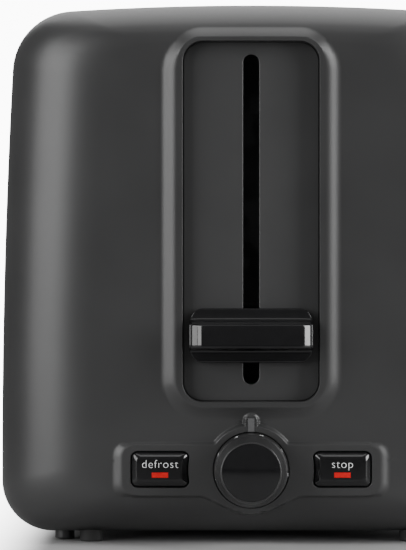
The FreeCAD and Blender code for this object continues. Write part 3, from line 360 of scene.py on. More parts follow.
# ---- the rounded end as a formula -----------------------------------------------------
class Pillow:
    """Outline, depth and normals of a rounded end; wall moves it inwards for the inner skin."""

    COUNTS = {"bottom": 44, "corner": 16, "side": 34, "dome": 56}
    HALVINGS = 34

    def __init__(self, wall=0.0):
        self.s = bpy.context.scene.toaster_body
        self.wall = wall
        self.half = CAD_BOX[1].x
        self.top = CAD_BOX[1].z
        self.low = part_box("front_cap")[0].z
        self.side_centre = (self.half - self.s.side_radius, self.s.widest)
        self.dome_centre = (0.0, self.top - self.s.dome_radius)

    def sizes(self, turn):
        """Radii, corner centres and lowest height of the section at a turn of the rounding.

        The upper corner's centre lies where two circles cross: the side's and the dome's, each
        smaller by the corner's radius."""
        s, wall = self.s, self.wall
        left = 1 - np.sin(turn)
        side_r = s.side_radius - (wall + (s.round_side - wall) * left)
        dome_r = s.dome_radius - (wall + (s.round_top - wall) * left)
        low = self.low + wall + (s.round_bottom - wall) * left
        rt = s.top_corner - wall - s.corner_shrink * left
        rb = s.bottom_corner - wall - s.corner_shrink * left
        (ax, az), (bx, bz) = self.side_centre, self.dome_centre
        dx, dz = bx - ax, bz - az
        apart = math.hypot(dx, dz)
        r1, r2 = side_r - rt, dome_r - rt
        along = (r1 * r1 - r2 * r2 + apart * apart) / (2 * apart)
        off = np.sqrt(r1 * r1 - along * along)
        upper = (ax + (along * dx - off * dz) / apart, az + (along * dz + off * dx) / apart)
        lower = (ax + np.sqrt((side_r - rb) ** 2 - (low + rb - az) ** 2), low + rb)
        return side_r, dome_r, low, rt, rb, upper, lower

    def gap(self, x, z, turn):
        """Distance outside the section at a turn; negative inside."""
        side_r, dome_r, low, rt, rb, upper, lower = self.sizes(turn)
        x = np.abs(x)
        (ax, az), (bx, bz) = self.side_centre, self.dome_centre
        gap = np.maximum(np.hypot(x - ax, z - az) - side_r, np.hypot(x - bx, z - bz) - dome_r)
        gap = np.maximum(gap, low - z)
        ux, uz = x - upper[0], z - upper[1]
        in_top = ((upper[0] - ax) * uz - (upper[1] - az) * ux >= 0) & (
            ux * (upper[1] - bz) - uz * (upper[0] - bx) >= 0
        )
        gap = np.where(in_top, np.hypot(ux, uz) - rt, gap)
        lx, lz = x - lower[0], z - lower[1]
        in_foot = (lx >= 0) & (lx * (lower[1] - az) - lz * (lower[0] - ax) >= 0)
        return np.where(in_foot, np.hypot(lx, lz) - rb, gap)

    def turn_at(self, x, z):
        """Turn of the section that passes through each point; 0 on the flat face."""
        low, high = np.zeros_like(x), np.full_like(x, QUARTER)
        for _ in range(self.HALVINGS):
            middle = (low + high) / 2
            outside = self.gap(x, z, middle) > 0
            low, high = np.where(outside, middle, low), np.where(outside, high, middle)
        return np.where(self.gap(x, z, np.zeros_like(x)) <= 0, 0.0, (low + high) / 2)

    def depth_of(self, turn):
        return self.wall + (self.s.round_depth - self.wall) * (1 - np.cos(turn))

    def ring(self, turn):
        """Closed anticlockwise loop of (x, z) points of the section, seen with x to the right."""
        side_r, dome_r, low, rt, rb, upper, lower = self.sizes(turn)
        (ax, az), (bx, bz) = self.side_centre, self.dome_centre
        side_low = math.atan2(lower[1] - az, lower[0] - ax)
        side_high = math.atan2(upper[1] - az, upper[0] - ax)
        dome_end = math.atan2(upper[1] - bz, upper[0] - bx)
        arcs = [
            (lower, rb, -QUARTER, side_low, self.COUNTS["corner"]),
            ((ax, az), side_r, side_low, side_high, self.COUNTS["side"]),
            (upper, rt, side_high, dome_end, self.COUNTS["corner"]),
        ]
        right = []
        for (cx, cz), radius, start, end, count in arcs:
            for angle in np.linspace(start, end, count, endpoint=False):
                right.append((cx + radius * math.cos(angle), cz + radius * math.sin(angle)))
        dome = [
            (bx + dome_r * math.cos(a), bz + dome_r * math.sin(a))
            for a in np.linspace(dome_end, math.pi - dome_end, self.COUNTS["dome"] + 1)
        ]
        left = [(-x, z) for x, z in reversed(right)]
        foot = right[0][0]
        bottom = [(x, low) for x in np.linspace(-foot, foot, self.COUNTS["bottom"] + 1)[1:-1]]
        return right + dome + left + bottom

    def normals(self, x, y, z, face_y, inward):
        """Outward normals and distance from the plain rounded surface, at points near it."""
        depth = np.clip(inward * (y - face_y), 0, self.s.round_depth)
        turn = np.arccos(np.clip(1 - depth / self.s.round_depth, 0, 1))
        shift, small_turn = 0.01 * MM, 1e-4
        gx = (self.gap(x + shift, z, turn) - self.gap(x - shift, z, turn)) / (2 * shift)
        gz = (self.gap(x, z + shift, turn) - self.gap(x, z - shift, turn)) / (2 * shift)
        before, after = np.maximum(turn - small_turn, 0), np.minimum(turn + small_turn, QUARTER)
        slope = (self.gap(x, z, after) - self.gap(x, z, before)) / np.maximum(after - before, 1e-9)
        gy = inward * slope / (self.s.round_depth * np.maximum(np.sin(turn), 1e-4))
        gy = np.where(inward * (y - face_y) >= self.s.round_depth, 0.0, gy)
        flat = inward * (y - face_y) < 1e-6
        gx, gz = np.where(flat, 0.0, gx), np.where(flat, 0.0, gz)
        gy = np.where(flat, -float(inward), gy)
        n = np.stack([gx, gy, gz], axis=1)
        away = np.where(flat, 0.0, self.gap(x, z, turn))
        size = np.linalg.norm(n, axis=1)
        return n / size[:, None], away / size


# ---- raised shapes of the control end -------------------------------------------------
def frame_gap(x, z):
    """Distance outside the raised frame's outer edge; negative inside."""
    c = bpy.context.scene.toaster_controls
    return rect_gap(x, z, -c.frame_half, c.frame_half, c.frame_low, c.frame_high, c.frame_corner)


def plate_gap(x, z):
    """Distance outside the control plate: bar, bulge, pointer tab and tapered lower edge."""
    c = bpy.context.scene.toaster_controls
    bar = rect_gap(x, z, -c.plate_half, c.plate_half, c.plate_low, c.plate_high, c.plate_corner)
    bulge = np.hypot(x, z - KNOB_Z) - c.bulge
    tab = rect_gap(x, z, -c.tab_half, c.tab_half, KNOB_Z, c.tab_top, c.tab_half * 0.99)
    dx, dz = c.plate_bend, c.plate_low - KNOB_Z
    angle = math.atan2(dz, dx) - math.acos(c.bulge / math.hypot(dx, dz))
    nx, nz = math.cos(angle), math.sin(angle)
    touch_x, touch_z = c.bulge * nx, KNOB_Z + c.bulge * nz
    slant = (np.abs(x) - touch_x) * nx + (z - touch_z) * nz
    taper = np.maximum(np.maximum(slant, touch_z - z), z - KNOB_Z)
    tight = np.minimum(np.minimum(bulge, taper), tab)
    blend = np.clip(0.5 + (bar - tight) / (2 * c.plate_blend), 0, 1)
    return bar + (tight - bar) * blend - c.plate_blend * blend * (1 - blend)


def plate_flank(x, z):
    """Width of the plate's flank: wide at the two ends, narrow elsewhere."""
    c = bpy.context.scene.toaster_controls
    middle, half_tall = (c.plate_low + c.plate_high) / 2, (c.plate_high - c.plate_low) / 2
    qx = np.maximum(np.abs(x) - c.plate_half + c.plate_corner, 0)
    qz = np.maximum(np.abs(z - middle) - half_tall + c.plate_corner, 0)
    sideways = qx / np.maximum(np.hypot(qx, qz), 1e-9)
    ends = ease((sideways - 0.3) / 0.7) * ease(qx / c.plate_corner)
    return c.plate_flank + (c.plate_flank_end - c.plate_flank) * ends


def front_height(pillow, x, z):
    """How far the control end stands out of its flat face at (x, z)."""
    c = bpy.context.scene.toaster_controls
    head_inset, crease = 0.45 * MM, 1.45
    base = -pillow.depth_of(pillow.turn_at(x, z))
    upper = ease((z - (c.frame_high - c.frame_head_reach)) / c.frame_head_reach)
    lower = ease((c.frame_low + c.frame_foot_reach - z) / c.frame_foot_reach)
    flank = c.frame_flank + (c.frame_flank_top - c.frame_flank) * upper
    flank = flank + (c.frame_flank_low - flank) * lower
    away = np.clip((frame_gap(x, z) + head_inset * upper) / flank, 0, 1)
    creased = np.maximum(upper, lower)
    lift = (1 - ease(away)) * (1 - creased) + (1 - away) ** crease * creased
    height = base * (1 - lift) + c.frame_rise * lift
    plate = 1 - ease(plate_gap(x, z) / plate_flank(x, z))
    return height + plate * np.maximum(c.plate_rise - height, 0)


def front_normals(pillow, x, z):
    """Outward normals of the control end's face, from its slopes."""
    e = 0.02 * MM
    gx = (front_height(pillow, x + e, z) - front_height(pillow, x - e, z)) / (2 * e)
    gz = (front_height(pillow, x, z + e) - front_height(pillow, x, z - e)) / (2 * e)
    n = np.stack([-gx, -np.ones_like(gx), -gz], axis=1)
    return n / np.linalg.norm(n, axis=1)[:, None]


def shade_skin(mesh, skin):
    """Exact normals where the mesh lies on a known surface, shading by angle elsewhere.

    skin takes arrays x, y, z and gives normals and distances from the surface."""
    near, alike = 0.12 * MM, 0.8
    smooth(mesh)
    co = np.empty(len(mesh.vertices) * 3)
    mesh.vertices.foreach_get("co", co)
    co = co.reshape(-1, 3)
    normals, away = skin(co[:, 0], co[:, 1], co[:, 2])
    corners = np.empty(len(mesh.loops) * 3)
    mesh.corner_normals.foreach_get("vector", corners)
    corners = corners.reshape(-1, 3)
    vertex = np.empty(len(mesh.loops), dtype=np.int64)
    mesh.loops.foreach_get("vertex_index", vertex)
    totals = np.empty(len(mesh.polygons), dtype=np.int64)
    mesh.polygons.foreach_get("loop_total", totals)
    flat = np.empty(len(mesh.polygons) * 3)
    mesh.polygons.foreach_get("normal", flat)
    face = np.repeat(flat.reshape(-1, 3), totals, axis=0)
    wanted = normals[vertex]
    agree = (np.einsum("ij,ij->i", face, wanted) > alike) & (np.abs(away[vertex]) < near)
    corners[agree] = wanted[agree]
    mesh.normals_split_custom_set(corners.tolist())


# ---- front cap ------------------------------------------------------------------------
def upright_loop(half, low, high, corner, offset):
    """Outline, grown by offset, of a rounded rectangle centred on the lever."""
    return rect_loop(-half - offset, half + offset, low - offset, high + offset, corner + offset)


def frame_loop(offset):
    c = bpy.context.scene.toaster_controls
    return upright_loop(c.frame_half, c.frame_low, c.frame_high, c.frame_corner, offset)


def window_loop(offset):
    """Outline of the opening inside the raised frame, grown by offset."""
    return frame_loop(offset - bpy.context.scene.toaster_controls.frame_rim)


def button_loop(sign, offset):
    """Outline of a button's hole grown by offset, hollowed on the side of the knob."""
    c = bpy.context.scene.toaster_controls
    half, tall = c.button_half + offset, c.button_half_tall + offset
    corner = c.button_corner + max(offset, -c.button_corner / 2)
    sides = (c.button_x - half, c.button_x + half, c.button_z - tall, c.button_z + tall)
    arc = c.button_arc - offset
    shaped = []
    for x, z in rect_loop(*sides, corner, across=26, along=13, arc_steps=7):
        push = max(1.0, arc / math.hypot(x, z - KNOB_Z))
        shaped.append((x * push, KNOB_Z + (z - KNOB_Z) * push))
    return shaped if sign > 0 else [(-x, z) for x, z in reversed(shaped)]


def circle_loop(radius):
    return [(x, z) for x, _, z in circle_ring(radius, 0.0)]


def grow_circle(radius):
    return lambda offset: circle_loop(radius + offset)


def inside_loop(points, loop):
    """Which of the (n, 2) points lie inside a closed loop."""
    loop = np.array(loop)
    ax, az = loop[:, 0], loop[:, 1]
    bx, bz = np.roll(ax, -1), np.roll(az, -1)
    inside = np.zeros(len(points), dtype=bool)
    for i in range(len(loop)):
        if az[i] == bz[i]:
            continue
        crosses = (az[i] > points[:, 1]) != (bz[i] > points[:, 1])
        at = ax[i] + (points[:, 1] - az[i]) * (bx[i] - ax[i]) / (bz[i] - az[i])
        inside ^= crosses & (points[:, 0] < at)
    return inside


def triangulate(boundary, holes, lines=(), scattered=()):
    """Triangles between a boundary and its holes, through extra closed lines and points."""
    points, edges = [], []
    for loop in [boundary, *holes, *lines]:
        start, count = len(points), len(loop)
        points += loop
        edges += [(start + i, start + (i + 1) % count) for i in range(count)]
    points += list(scattered)
    found = delaunay_2d_cdt([Vector(p) for p in points], edges, [], 0, 1e-7)
    flat, faces = np.array([tuple(v) for v in found[0]]), np.array(found[2])
    middle = flat[faces].mean(axis=1)
    keep = inside_loop(middle, boundary)
    for hole in holes:
        keep &= ~inside_loop(middle, hole)
    return flat, [tuple(int(i) for i in f) for f in faces[keep]]


def grid_points(x0, x1, z0, z1, step):
    """Staggered grid of points, as an (n, 2) array."""
    rows = np.arange(z0, z1, step * math.sqrt(0.75))
    found = []
    for i, z in enumerate(rows):
        xs = np.arange(x0 + (i % 2) * step / 2, x1, step)
        found.append(np.stack([xs, np.full_like(xs, z)], axis=1))
    return np.concatenate(found)


def face_points(outer, holes, outline_turn):
    """Points that the control end's face needs: fine at the plate's flank, coarse elsewhere."""
    c = bpy.context.scene.toaster_controls
    fine_step, tab_step, coarse_step = 0.42 * MM, 0.24 * MM, 2.6 * MM
    fine_margin, coarse_margin, hole_margin = 0.4 * MM, 0.5 * MM, 0.35 * MM
    reach, tab_reach = c.plate_half + c.plate_flank_end + 1 * MM, 5 * MM
    fine = []
    for x0, x1, z0, z1, step in (
        (-reach, reach, KNOB_Z - c.bulge - 3 * MM, KNOB_Z + c.bulge + 2.5 * MM, fine_step),
        (-tab_reach, tab_reach, KNOB_Z + c.bulge - 1 * MM, c.tab_top + 3 * MM, tab_step),
    ):
        patch = grid_points(x0, x1, z0, z1, step)
        gap, flank = plate_gap(*patch.T), plate_flank(*patch.T)
        fine.append(patch[(gap > -fine_margin) & (gap < flank + fine_margin)])
    coarse = grid_points(-outer.half, outer.half, 0, outer.top, coarse_step)
    gap, frame_edge = plate_gap(*coarse.T), frame_gap(*coarse.T)
    apart = (gap < -coarse_margin) | (gap > plate_flank(*coarse.T) + coarse_margin)
    apart &= (frame_edge < -c.frame_rim) | (frame_edge > c.frame_flank + 0.6 * MM)
    points = np.concatenate([*fine, coarse[apart]])
    keep = outer.gap(*points.T, np.full(len(points), outline_turn)) < -fine_margin
    for hole in holes:
        keep &= ~inside_loop(points, hole(hole_margin))
    return [tuple(p) for p in points[keep]]


def hole_wall(hole, crest_y, back_y, edge):
    """Rounded edge and wall of a hole, from the face down to back_y."""
    rings = []
    for a in np.linspace(0, QUARTER, 4):
        offset, y = edge * (1 - math.sin(a)), crest_y + edge * (1 - math.cos(a))
        rings.append([(x, y, z) for x, z in hole(offset)])
    rings.append([(x, back_y, z) for x, z in hole(0.0)])
    return loft(rings, capped=False)


def cap_skin(pillow, turns, straight):
    """Rings of the rounded end at each turn, then of its full outline at each straight depth."""
    rings = [(pillow.ring(turn), float(pillow.depth_of(turn))) for turn in turns]
    rings += [(pillow.ring(QUARTER), depth) for depth in straight]
    return [[(x, FRONT + depth, z) for x, z in ring] for ring, depth in rings]


def front_face(outer, holes, split, edge):
    """The control end's face as far out as the turn split, with its raised shapes and holes.

    Lines that follow the frame at growing offsets carry the bend of its flank."""
    rim = bpy.context.scene.toaster_controls.frame_rim
    offsets = [-rim / 2] + [mm * MM for mm in (-0.45, 0, 0.5, 1.1, 1.8, 2.6, 3.5, 4.4, 5.3, 6.2)]
    lines = [outer.ring(math.radians(a)) for a in range(0, round(math.degrees(split)), 4)]
    lines += [frame_loop(offset) for offset in offsets]
    edges = [hole(edge) for hole in holes]
    scattered = face_points(outer, holes, split)
    flat, faces = triangulate(outer.ring(split), edges, lines, scattered)
    heights = front_height(outer, *flat.T)
    return [(x, FRONT - height, z) for (x, z), height in zip(flat, heights)], faces


def end_shell(outer, inner, lip, split):
    """Rounded flank of the control end, its rim and lip, and the inner skin."""
    s = bpy.context.scene.toaster_body
    rim_edge, flank_middle, step = 0.3 * MM, 33 * MM, s.cap_depth - s.cap_lip
    turns = np.radians([*range(round(math.degrees(split)), 87, 4), 87, 90])
    skin = cap_skin(outer, turns, (flank_middle, s.cap_depth - rim_edge))
    skin += cap_skin(Pillow(rim_edge), (), (s.cap_depth,))
    lip_rings = cap_skin(lip, (), (s.cap_depth, step))
    inside = cap_skin(inner, np.radians(np.arange(0, 91, 10)), (step,))
    return loft(skin + lip_rings + inside[::-1], capped=False)


def build_front_cap():
    """Outer skin with its raised shapes, hole walls, inner skin and lip, as one closed shell."""
    c, s = bpy.context.scene.toaster_controls, bpy.context.scene.toaster_body
    outer, inner, lip = Pillow(), Pillow(s.cap_wall), Pillow(s.lip_wall)
    split, edge, on_skin = math.radians(48), 0.3 * MM, 0.1 * MM
    shaft_hole, well_floor, wall_back = 4.2 * MM, FRONT + 0.4 * MM, FRONT + s.cap_wall
    well = grow_circle(c.well)
    buttons = [lambda offset, sign=sign: button_loop(sign, offset) for sign in (-1, 1)]
    holes = [window_loop, well, *buttons]
    crests = [FRONT - c.frame_rise] + [FRONT - c.plate_rise] * 3
    parts = [front_face(outer, holes, split, edge), end_shell(outer, inner, lip, split)]
    for hole, crest in zip(holes, crests):
        back = well_floor if hole is well else wall_back
        parts.append(hole_wall(hole, crest, back, edge))
    bore = [circle_ring(c.well, well_floor), circle_ring(shaft_hole, well_floor)]
    parts.append(loft(bore + [circle_ring(shaft_hole, wall_back)], capped=False))
    back_holes = [window_loop(0.0), circle_loop(shaft_hole), *(button(0.0) for button in buttons)]
    flat, faces = triangulate(inner.ring(0.0), back_holes)
    parts.append(([(x, wall_back, z) for x, z in flat], faces))
    mesh = mesh_from(*join_parts(parts))

    def skin_at(x, y, z):
        """The raised face inside the split, the rounded flank outside it."""
        normals, away = outer.normals(x, y, z, FRONT, 1)
        forward = outer.gap(x, z, np.full_like(x, split)) < 1e-7
        behind = FRONT - front_height(outer, x, z) - y
        on_face = forward & (np.abs(behind) < on_skin)
        normals = np.where(on_face[:, None], front_normals(outer, x, z), normals)
        return normals, np.where(forward, behind, away)

    cut_screw_wells(mesh, *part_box("front_cap"))
    shade_skin(mesh, skin_at)
    return mesh


def screw_places(node_name):
    """Centres of the four screws of a node, from its box."""
    low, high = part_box(node_name)
    head_radius = 3.0 * MM
    xs, ys = (low.x + head_radius, high.x - head_radius), (low.y + head_radius, high.y - head_radius)
    return [(x, y) for x in xs for y in ys]


def evaluated_mesh(piece):
    """Mesh of an object with its modifiers applied."""
    bpy.context.view_layer.update()
    return bpy.data.meshes.new_from_object(piece.evaluated_get(bpy.context.evaluated_depsgraph_get()))


def cut_screw_wells(mesh, low, high):
    """Counterbores of the cap screws, cut from the underside between low and high."""
    head_hole, shank_hole, head_depth, bore_depth = 3.05 * MM, 1.45 * MM, 1.2 * MM, 4 * MM
    for x, y in screw_places("cap_screws"):
        if not low.y < y < high.y:
            continue
        well = [(head_hole, low.z - 1 * MM), (head_hole, low.z + head_depth)]
        well += [(shank_hole, low.z + head_depth), (shank_hole, low.z + bore_depth)]
        cutter_mesh = mesh_from(*loft([upright_ring(radius, z, x, y, 32) for radius, z in well]))
        cutter = bpy.data.objects.new("cutter", cutter_mesh)
        target = bpy.data.objects.new("target", mesh.copy())
        for piece in (cutter, target):
            bpy.context.scene.collection.objects.link(piece)
        cut = target.modifiers.new("well", "BOOLEAN")
        cut.object, cut.operation, cut.solver = cutter, "DIFFERENCE", "EXACT"
        work = bmesh.new()
        work.from_mesh(evaluated_mesh(target))
        work.to_mesh(mesh)
        work.free()
        for piece in (cutter, target):
            bpy.data.objects.remove(piece)


# ---- node trees -----------------------------------------------------------------------
def node(tree, kind, place=(0, 0), **values):
    made = tree.nodes.new(kind)
    made.location = place
    for name, value in values.items():
        setattr(made, name, value)
    return made


MATERIALS = {}


def material(name):
    return MATERIALS[name]


def start_material(name, base, roughness, metallic=0.0, **sockets):
    """Principled material with its plain numbers on the shader's own sockets."""
    made = bpy.data.materials.new(name)
    made.use_nodes = True
    tree = made.node_tree
    shader = tree.nodes["Principled BSDF"]
    shader.inputs["Base Color"].default_value = (*base, 1)
    shader.inputs["Roughness"].default_value = roughness
    shader.inputs["Metallic"].default_value = metallic
    for socket, value in sockets.items():
        shader.inputs[socket].default_value = value
    made.diffuse_color = (*base, 1)
    MATERIALS[name] = made
    return tree, shader


def object_point(tree, stretch=(1, 1, 1)):
    """Object coordinates, stretched along each axis."""
    coordinates = node(tree, "ShaderNodeTexCoord", (-1200, 0))
    mapping = node(tree, "ShaderNodeMapping", (-1000, 0))
    mapping.inputs["Scale"].default_value = stretch
    tree.links.new(coordinates.outputs["Object"], mapping.inputs["Vector"])
    return mapping.outputs["Vector"]


def noise(tree, point, size, detail=2.0, roughness=0.5, place=(-800, 0)):
    """Noise whose features are about size metres across."""
    texture = node(tree, "ShaderNodeTexNoise", place)
    texture.inputs["Scale"].default_value = 1 / size
    texture.inputs["Detail"].default_value = detail
    texture.inputs["Roughness"].default_value = roughness
    tree.links.new(point, texture.inputs["Vector"])
    return texture.outputs["Fac"]


def cells(tree, point, size, feature="F1", place=(-800, -300), output="Color"):
    texture = node(tree, "ShaderNodeTexVoronoi", place, feature=feature)
    texture.inputs["Scale"].default_value = 1 / size
    tree.links.new(point, texture.inputs["Vector"])
    return texture.outputs[output]


def tint(tree, shader, value, dark, light, span=(0.3, 0.7)):
    """Base colour that runs from dark to light with value."""
    ramp = node(tree, "ShaderNodeValToRGB", (-500, 200))
    ramp.color_ramp.elements[0].position, ramp.color_ramp.elements[1].position = span
    ramp.color_ramp.elements[0].color = (*dark, 1)
    ramp.color_ramp.elements[1].color = (*light, 1)
    tree.links.new(value, ramp.inputs["Fac"])
    tree.links.new(ramp.outputs["Color"], shader.inputs["Base Color"])


def vary(tree, shader, socket, value, low, high):
    """A socket that runs from low to high with value."""
    span = node(tree, "ShaderNodeMapRange", (-500, -100))
    span.inputs["From Min"].default_value = 0.3
    span.inputs["From Max"].default_value = 0.7
    span.inputs["To Min"].default_value = low
    span.inputs["To Max"].default_value = high
    tree.links.new(value, span.inputs["Value"])
    tree.links.new(span.outputs["Result"], shader.inputs[socket])


def raise_surface(tree, shader, *layers):
    """Bump from one or more (value, height in metres, strength) layers."""
    previous = None
    for i, (value, height, strength) in enumerate(layers):
        bump = node(tree, "ShaderNodeBump", (-300, -300 - 200 * i))
        bump.inputs["Distance"].default_value = height
        bump.inputs["Strength"].default_value = strength
        tree.links.new(value, bump.inputs["Height"])
        if previous:
            tree.links.new(previous, bump.inputs["Normal"])
        previous = bump.outputs["Normal"]
    tree.links.new(previous, shader.inputs["Normal"])


def scaled(base, factor):
    return tuple(min(1.0, c * factor) for c in base)


def moulded(name, base, roughness, grain, height=0.02 * MM, spread=0.08):
    """Moulded plastic with a fine spark-eroded grain and slight clouding."""
    tree, shader = start_material(name, base, roughness)
    point = object_point(tree)
    fine = noise(tree, point, grain, 3.0, 0.6)
    cloud = noise(tree, point, 60 * grain, 2.0, 0.5, (-800, 300))
    tint(tree, shader, cloud, scaled(base, 1 - spread), scaled(base, 1 + spread))
    vary(tree, shader, "Roughness", fine, roughness - 0.03, roughness + 0.05)
    raise_surface(tree, shader, (fine, height, 0.5))


def polished(name, base, roughness=0.07):
    """Polished black plastic: faint moulding flow and a trace of handling."""
    tree, shader = start_material(name, base, roughness, IOR=1.5)
    point = object_point(tree)
    flow = noise(tree, point, 6 * MM, 2.0, 0.4)
    smear = noise(tree, point, 3 * MM, 4.0, 0.7, (-800, 300))
    tint(tree, shader, smear, scaled(base, 0.85), scaled(base, 1.25))
    vary(tree, shader, "Roughness", smear, roughness - 0.02, roughness + 0.05)
    raise_surface(tree, shader, (flow, 0.006 * MM, 0.4))


def coated(name, base, roughness, peel):
    """Sprayed coat with orange peel and fine speckle."""
    tree, shader = start_material(name, base, roughness)
    point = object_point(tree)
    skin = noise(tree, point, peel, 2.0, 0.45)
    speck = noise(tree, point, peel / 5, 2.0, 0.6, (-800, 300))
    tint(tree, shader, speck, scaled(base, 0.88), scaled(base, 1.14), (0.35, 0.65))
    vary(tree, shader, "Roughness", skin, roughness - 0.05, roughness + 0.05)
    raise_surface(tree, shader, (skin, 0.03 * MM, 0.6), (speck, 0.008 * MM, 0.5))


def rolled_metal(name, base, roughness, stretch, streak):
    """Sheet metal with the streaks of rolling or brushing along one axis."""
    tree, shader = start_material(name, base, roughness, 1.0)
    point = object_point(tree, stretch)
    lines = noise(tree, point, streak, 3.0, 0.6)
    stain = noise(tree, object_point(tree), 14 * MM, 3.0, 0.6, (-800, 300))
    tint(tree, shader, stain, scaled(base, 0.86), scaled(base, 1.08))
    vary(tree, shader, "Roughness", lines, roughness - 0.08, roughness + 0.1)
    raise_surface(tree, shader, (lines, 0.012 * MM, 0.4))


def spangled(name, base, roughness):
    """Zinc coat with its crystal spangle."""
    tree, shader = start_material(name, base, roughness, 1.0)
    point = object_point(tree)
    crystal = cells(tree, point, 6 * MM)
    grey = node(tree, "ShaderNodeRGBToBW", (-650, -300))
    tree.links.new(crystal, grey.inputs["Color"])
    fine = noise(tree, point, 0.8 * MM, 3.0, 0.6)
    tint(tree, shader, grey.outputs["Val"], scaled(base, 0.82), scaled(base, 1.12), (0.2, 0.8))
    vary(tree, shader, "Roughness", grey.outputs["Val"], roughness - 0.1, roughness + 0.12)
    raise_surface(tree, shader, (fine, 0.01 * MM, 0.4))


def flaked(name, base):
    """Pressed mica: overlapping flakes of several browns, with a pearly sheen."""
    tree, shader = start_material(name, base, 0.45)
    shader.inputs["Coat Weight"].default_value = 0.25
    shader.inputs["Coat Roughness"].default_value = 0.25
    point = object_point(tree)
    flakes = cells(tree, point, 3 * MM)
    grey = node(tree, "ShaderNodeRGBToBW", (-650, -300))
    tree.links.new(flakes, grey.inputs["Color"])
    tint(tree, shader, grey.outputs["Val"], scaled(base, 0.6), scaled(base, 1.45), (0.15, 0.85))
    vary(tree, shader, "Roughness", grey.outputs["Val"], 0.35, 0.6)
    edges = cells(tree, point, 3 * MM, "DISTANCE_TO_EDGE", (-800, -600), "Distance")
    raise_surface(tree, shader, (edges, 0.05 * MM, 0.5))


def wound(name, base):
    """Enamelled wire wound round an upright coil, with painted shade in the grooves between turns."""
    tree, shader = start_material(name, base, 0.28, 1.0)
    point = object_point(tree)
    turns = node(tree, "ShaderNodeTexWave", (-800, 0), wave_type="BANDS", bands_direction="Z")
    turns.inputs["Scale"].default_value = 1 / (6.2 * MM)
    turns.inputs["Distortion"].default_value = 0.3
    tree.links.new(point, turns.inputs["Vector"])
    # The bands make the grooves between turns darker and the crests lighter: painted shade and painted highlight,
    # along with the bump.
    tint(tree, shader, turns.outputs["Fac"], scaled(base, 0.35), scaled(base, 1.2), (0.1, 0.7))
    vary(tree, shader, "Roughness", turns.outputs["Fac"], 0.4, 0.22)
    raise_surface(tree, shader, (turns.outputs["Fac"], 0.2 * MM, 0.7))


def solder_resist(name, base):
    """Circuit laminate with copper tracks that show through the resist."""
    tree, shader = start_material(name, base, 0.3)
    shader.inputs["Coat Weight"].default_value = 0.3
    point = object_point(tree)
    tracks = node(tree, "ShaderNodeTexBrick", (-800, 0))
    tracks.inputs["Scale"].default_value = 1 / (9 * MM)
    tracks.inputs["Mortar Size"].default_value = 0.06
    turned = node(tree, "ShaderNodeMapping", (-900, -200))
    turned.inputs["Rotation"].default_value = (QUARTER, 0, 0)
    tree.links.new(point, turned.inputs["Vector"])
    tree.links.new(turned.outputs["Vector"], tracks.inputs["Vector"])
    tint(tree, shader, tracks.outputs["Fac"], base, scaled(base, 2.4), (0.2, 0.8))
    vary(tree, shader, "Roughness", tracks.outputs["Fac"], 0.35, 0.25)
    raise_surface(tree, shader, (tracks.outputs["Fac"], 0.05 * MM, 0.5))


def make_materials():
    f = bpy.context.scene.toaster_finish
    moulded("case_plastic", f.case, f.case_roughness, f.grain)
    moulded("panel_plastic", scaled(f.case, 1.10), f.case_roughness + 0.02, f.grain * 0.8)
    moulded("knob_satin", f.knob, 0.30, f.grain * 0.6, 0.01 * MM)
    polished("gloss_black", f.gloss)
    moulded("marker_print", (0.075, 0.075, 0.077), 0.5, 0.4 * MM)
    polished("red_lens", f.lens, 0.3)
    moulded("legend_print", f.print_white, 0.6, 0.2 * MM)
    coated("shell_paint", f.wrap, 0.42, 0.9 * MM)
    coated("deck_paint", (0.020, 0.020, 0.021), 0.34, 0.7 * MM)
    spangled("galvanised", (0.24, 0.245, 0.25), 0.46)
    rolled_metal("aluminised", (0.58, 0.585, 0.59), 0.34, (1, 0.04, 1), 0.6 * MM)
    rolled_metal("bright_steel", (0.56, 0.555, 0.55), 0.2, (1, 0.1, 1), 0.4 * MM)
    rolled_metal("screw_zinc", (0.5, 0.5, 0.47), 0.28, (1, 1, 0.2), 0.3 * MM)
    rolled_metal("heater_alloy", (0.26, 0.22, 0.20), 0.45, (1, 0.05, 1), 0.5 * MM)
    wound("copper_wire", (0.52, 0.20, 0.085))
    moulded("nylon", (0.62, 0.61, 0.57), 0.5, 0.5 * MM)
    moulded("component_black", (0.018, 0.018, 0.019), 0.45, 0.4 * MM)
    solder_resist("board_green", (0.018, 0.10, 0.045))
    moulded("porcelain", (0.70, 0.68, 0.63), 0.55, 0.6 * MM, 0.04 * MM)
    moulded("lead_sleeve", (0.55, 0.53, 0.49), 0.6, 0.5 * MM, 0.03 * MM)
    moulded("foot_rubber", (0.014, 0.014, 0.014), 0.7, 0.5 * MM, 0.04 * MM)
    flaked("mica", (0.40, 0.31, 0.19))


# ---- operators ------------------------------------------------------------------------
class TOASTER_OT_finishes(bpy.types.Operator):
    """Make every finish and give each CAD node the one that its slot names"""

    bl_idname = "toaster.finishes"
    bl_label = "Finishes"

    def execute(self, context):
        make_materials()
        for name, piece in frame["nodes"].items():
            piece.data.materials.clear()
            piece.data.materials.append(material(slot_of_node(name)))
        return {"FINISHED"}


class TOASTER_OT_front_cap(bpy.types.Operator):
    """Build the control end with its raised frame and control plate"""

    bl_idname = "toaster.front_cap"
    bl_label = "Control end"

    def execute(self, context):
        piece = new_object("control_end", build_front_cap(), material("case_plastic"))
        finish_piece(piece, "front_cap")
        return {"FINISHED"}


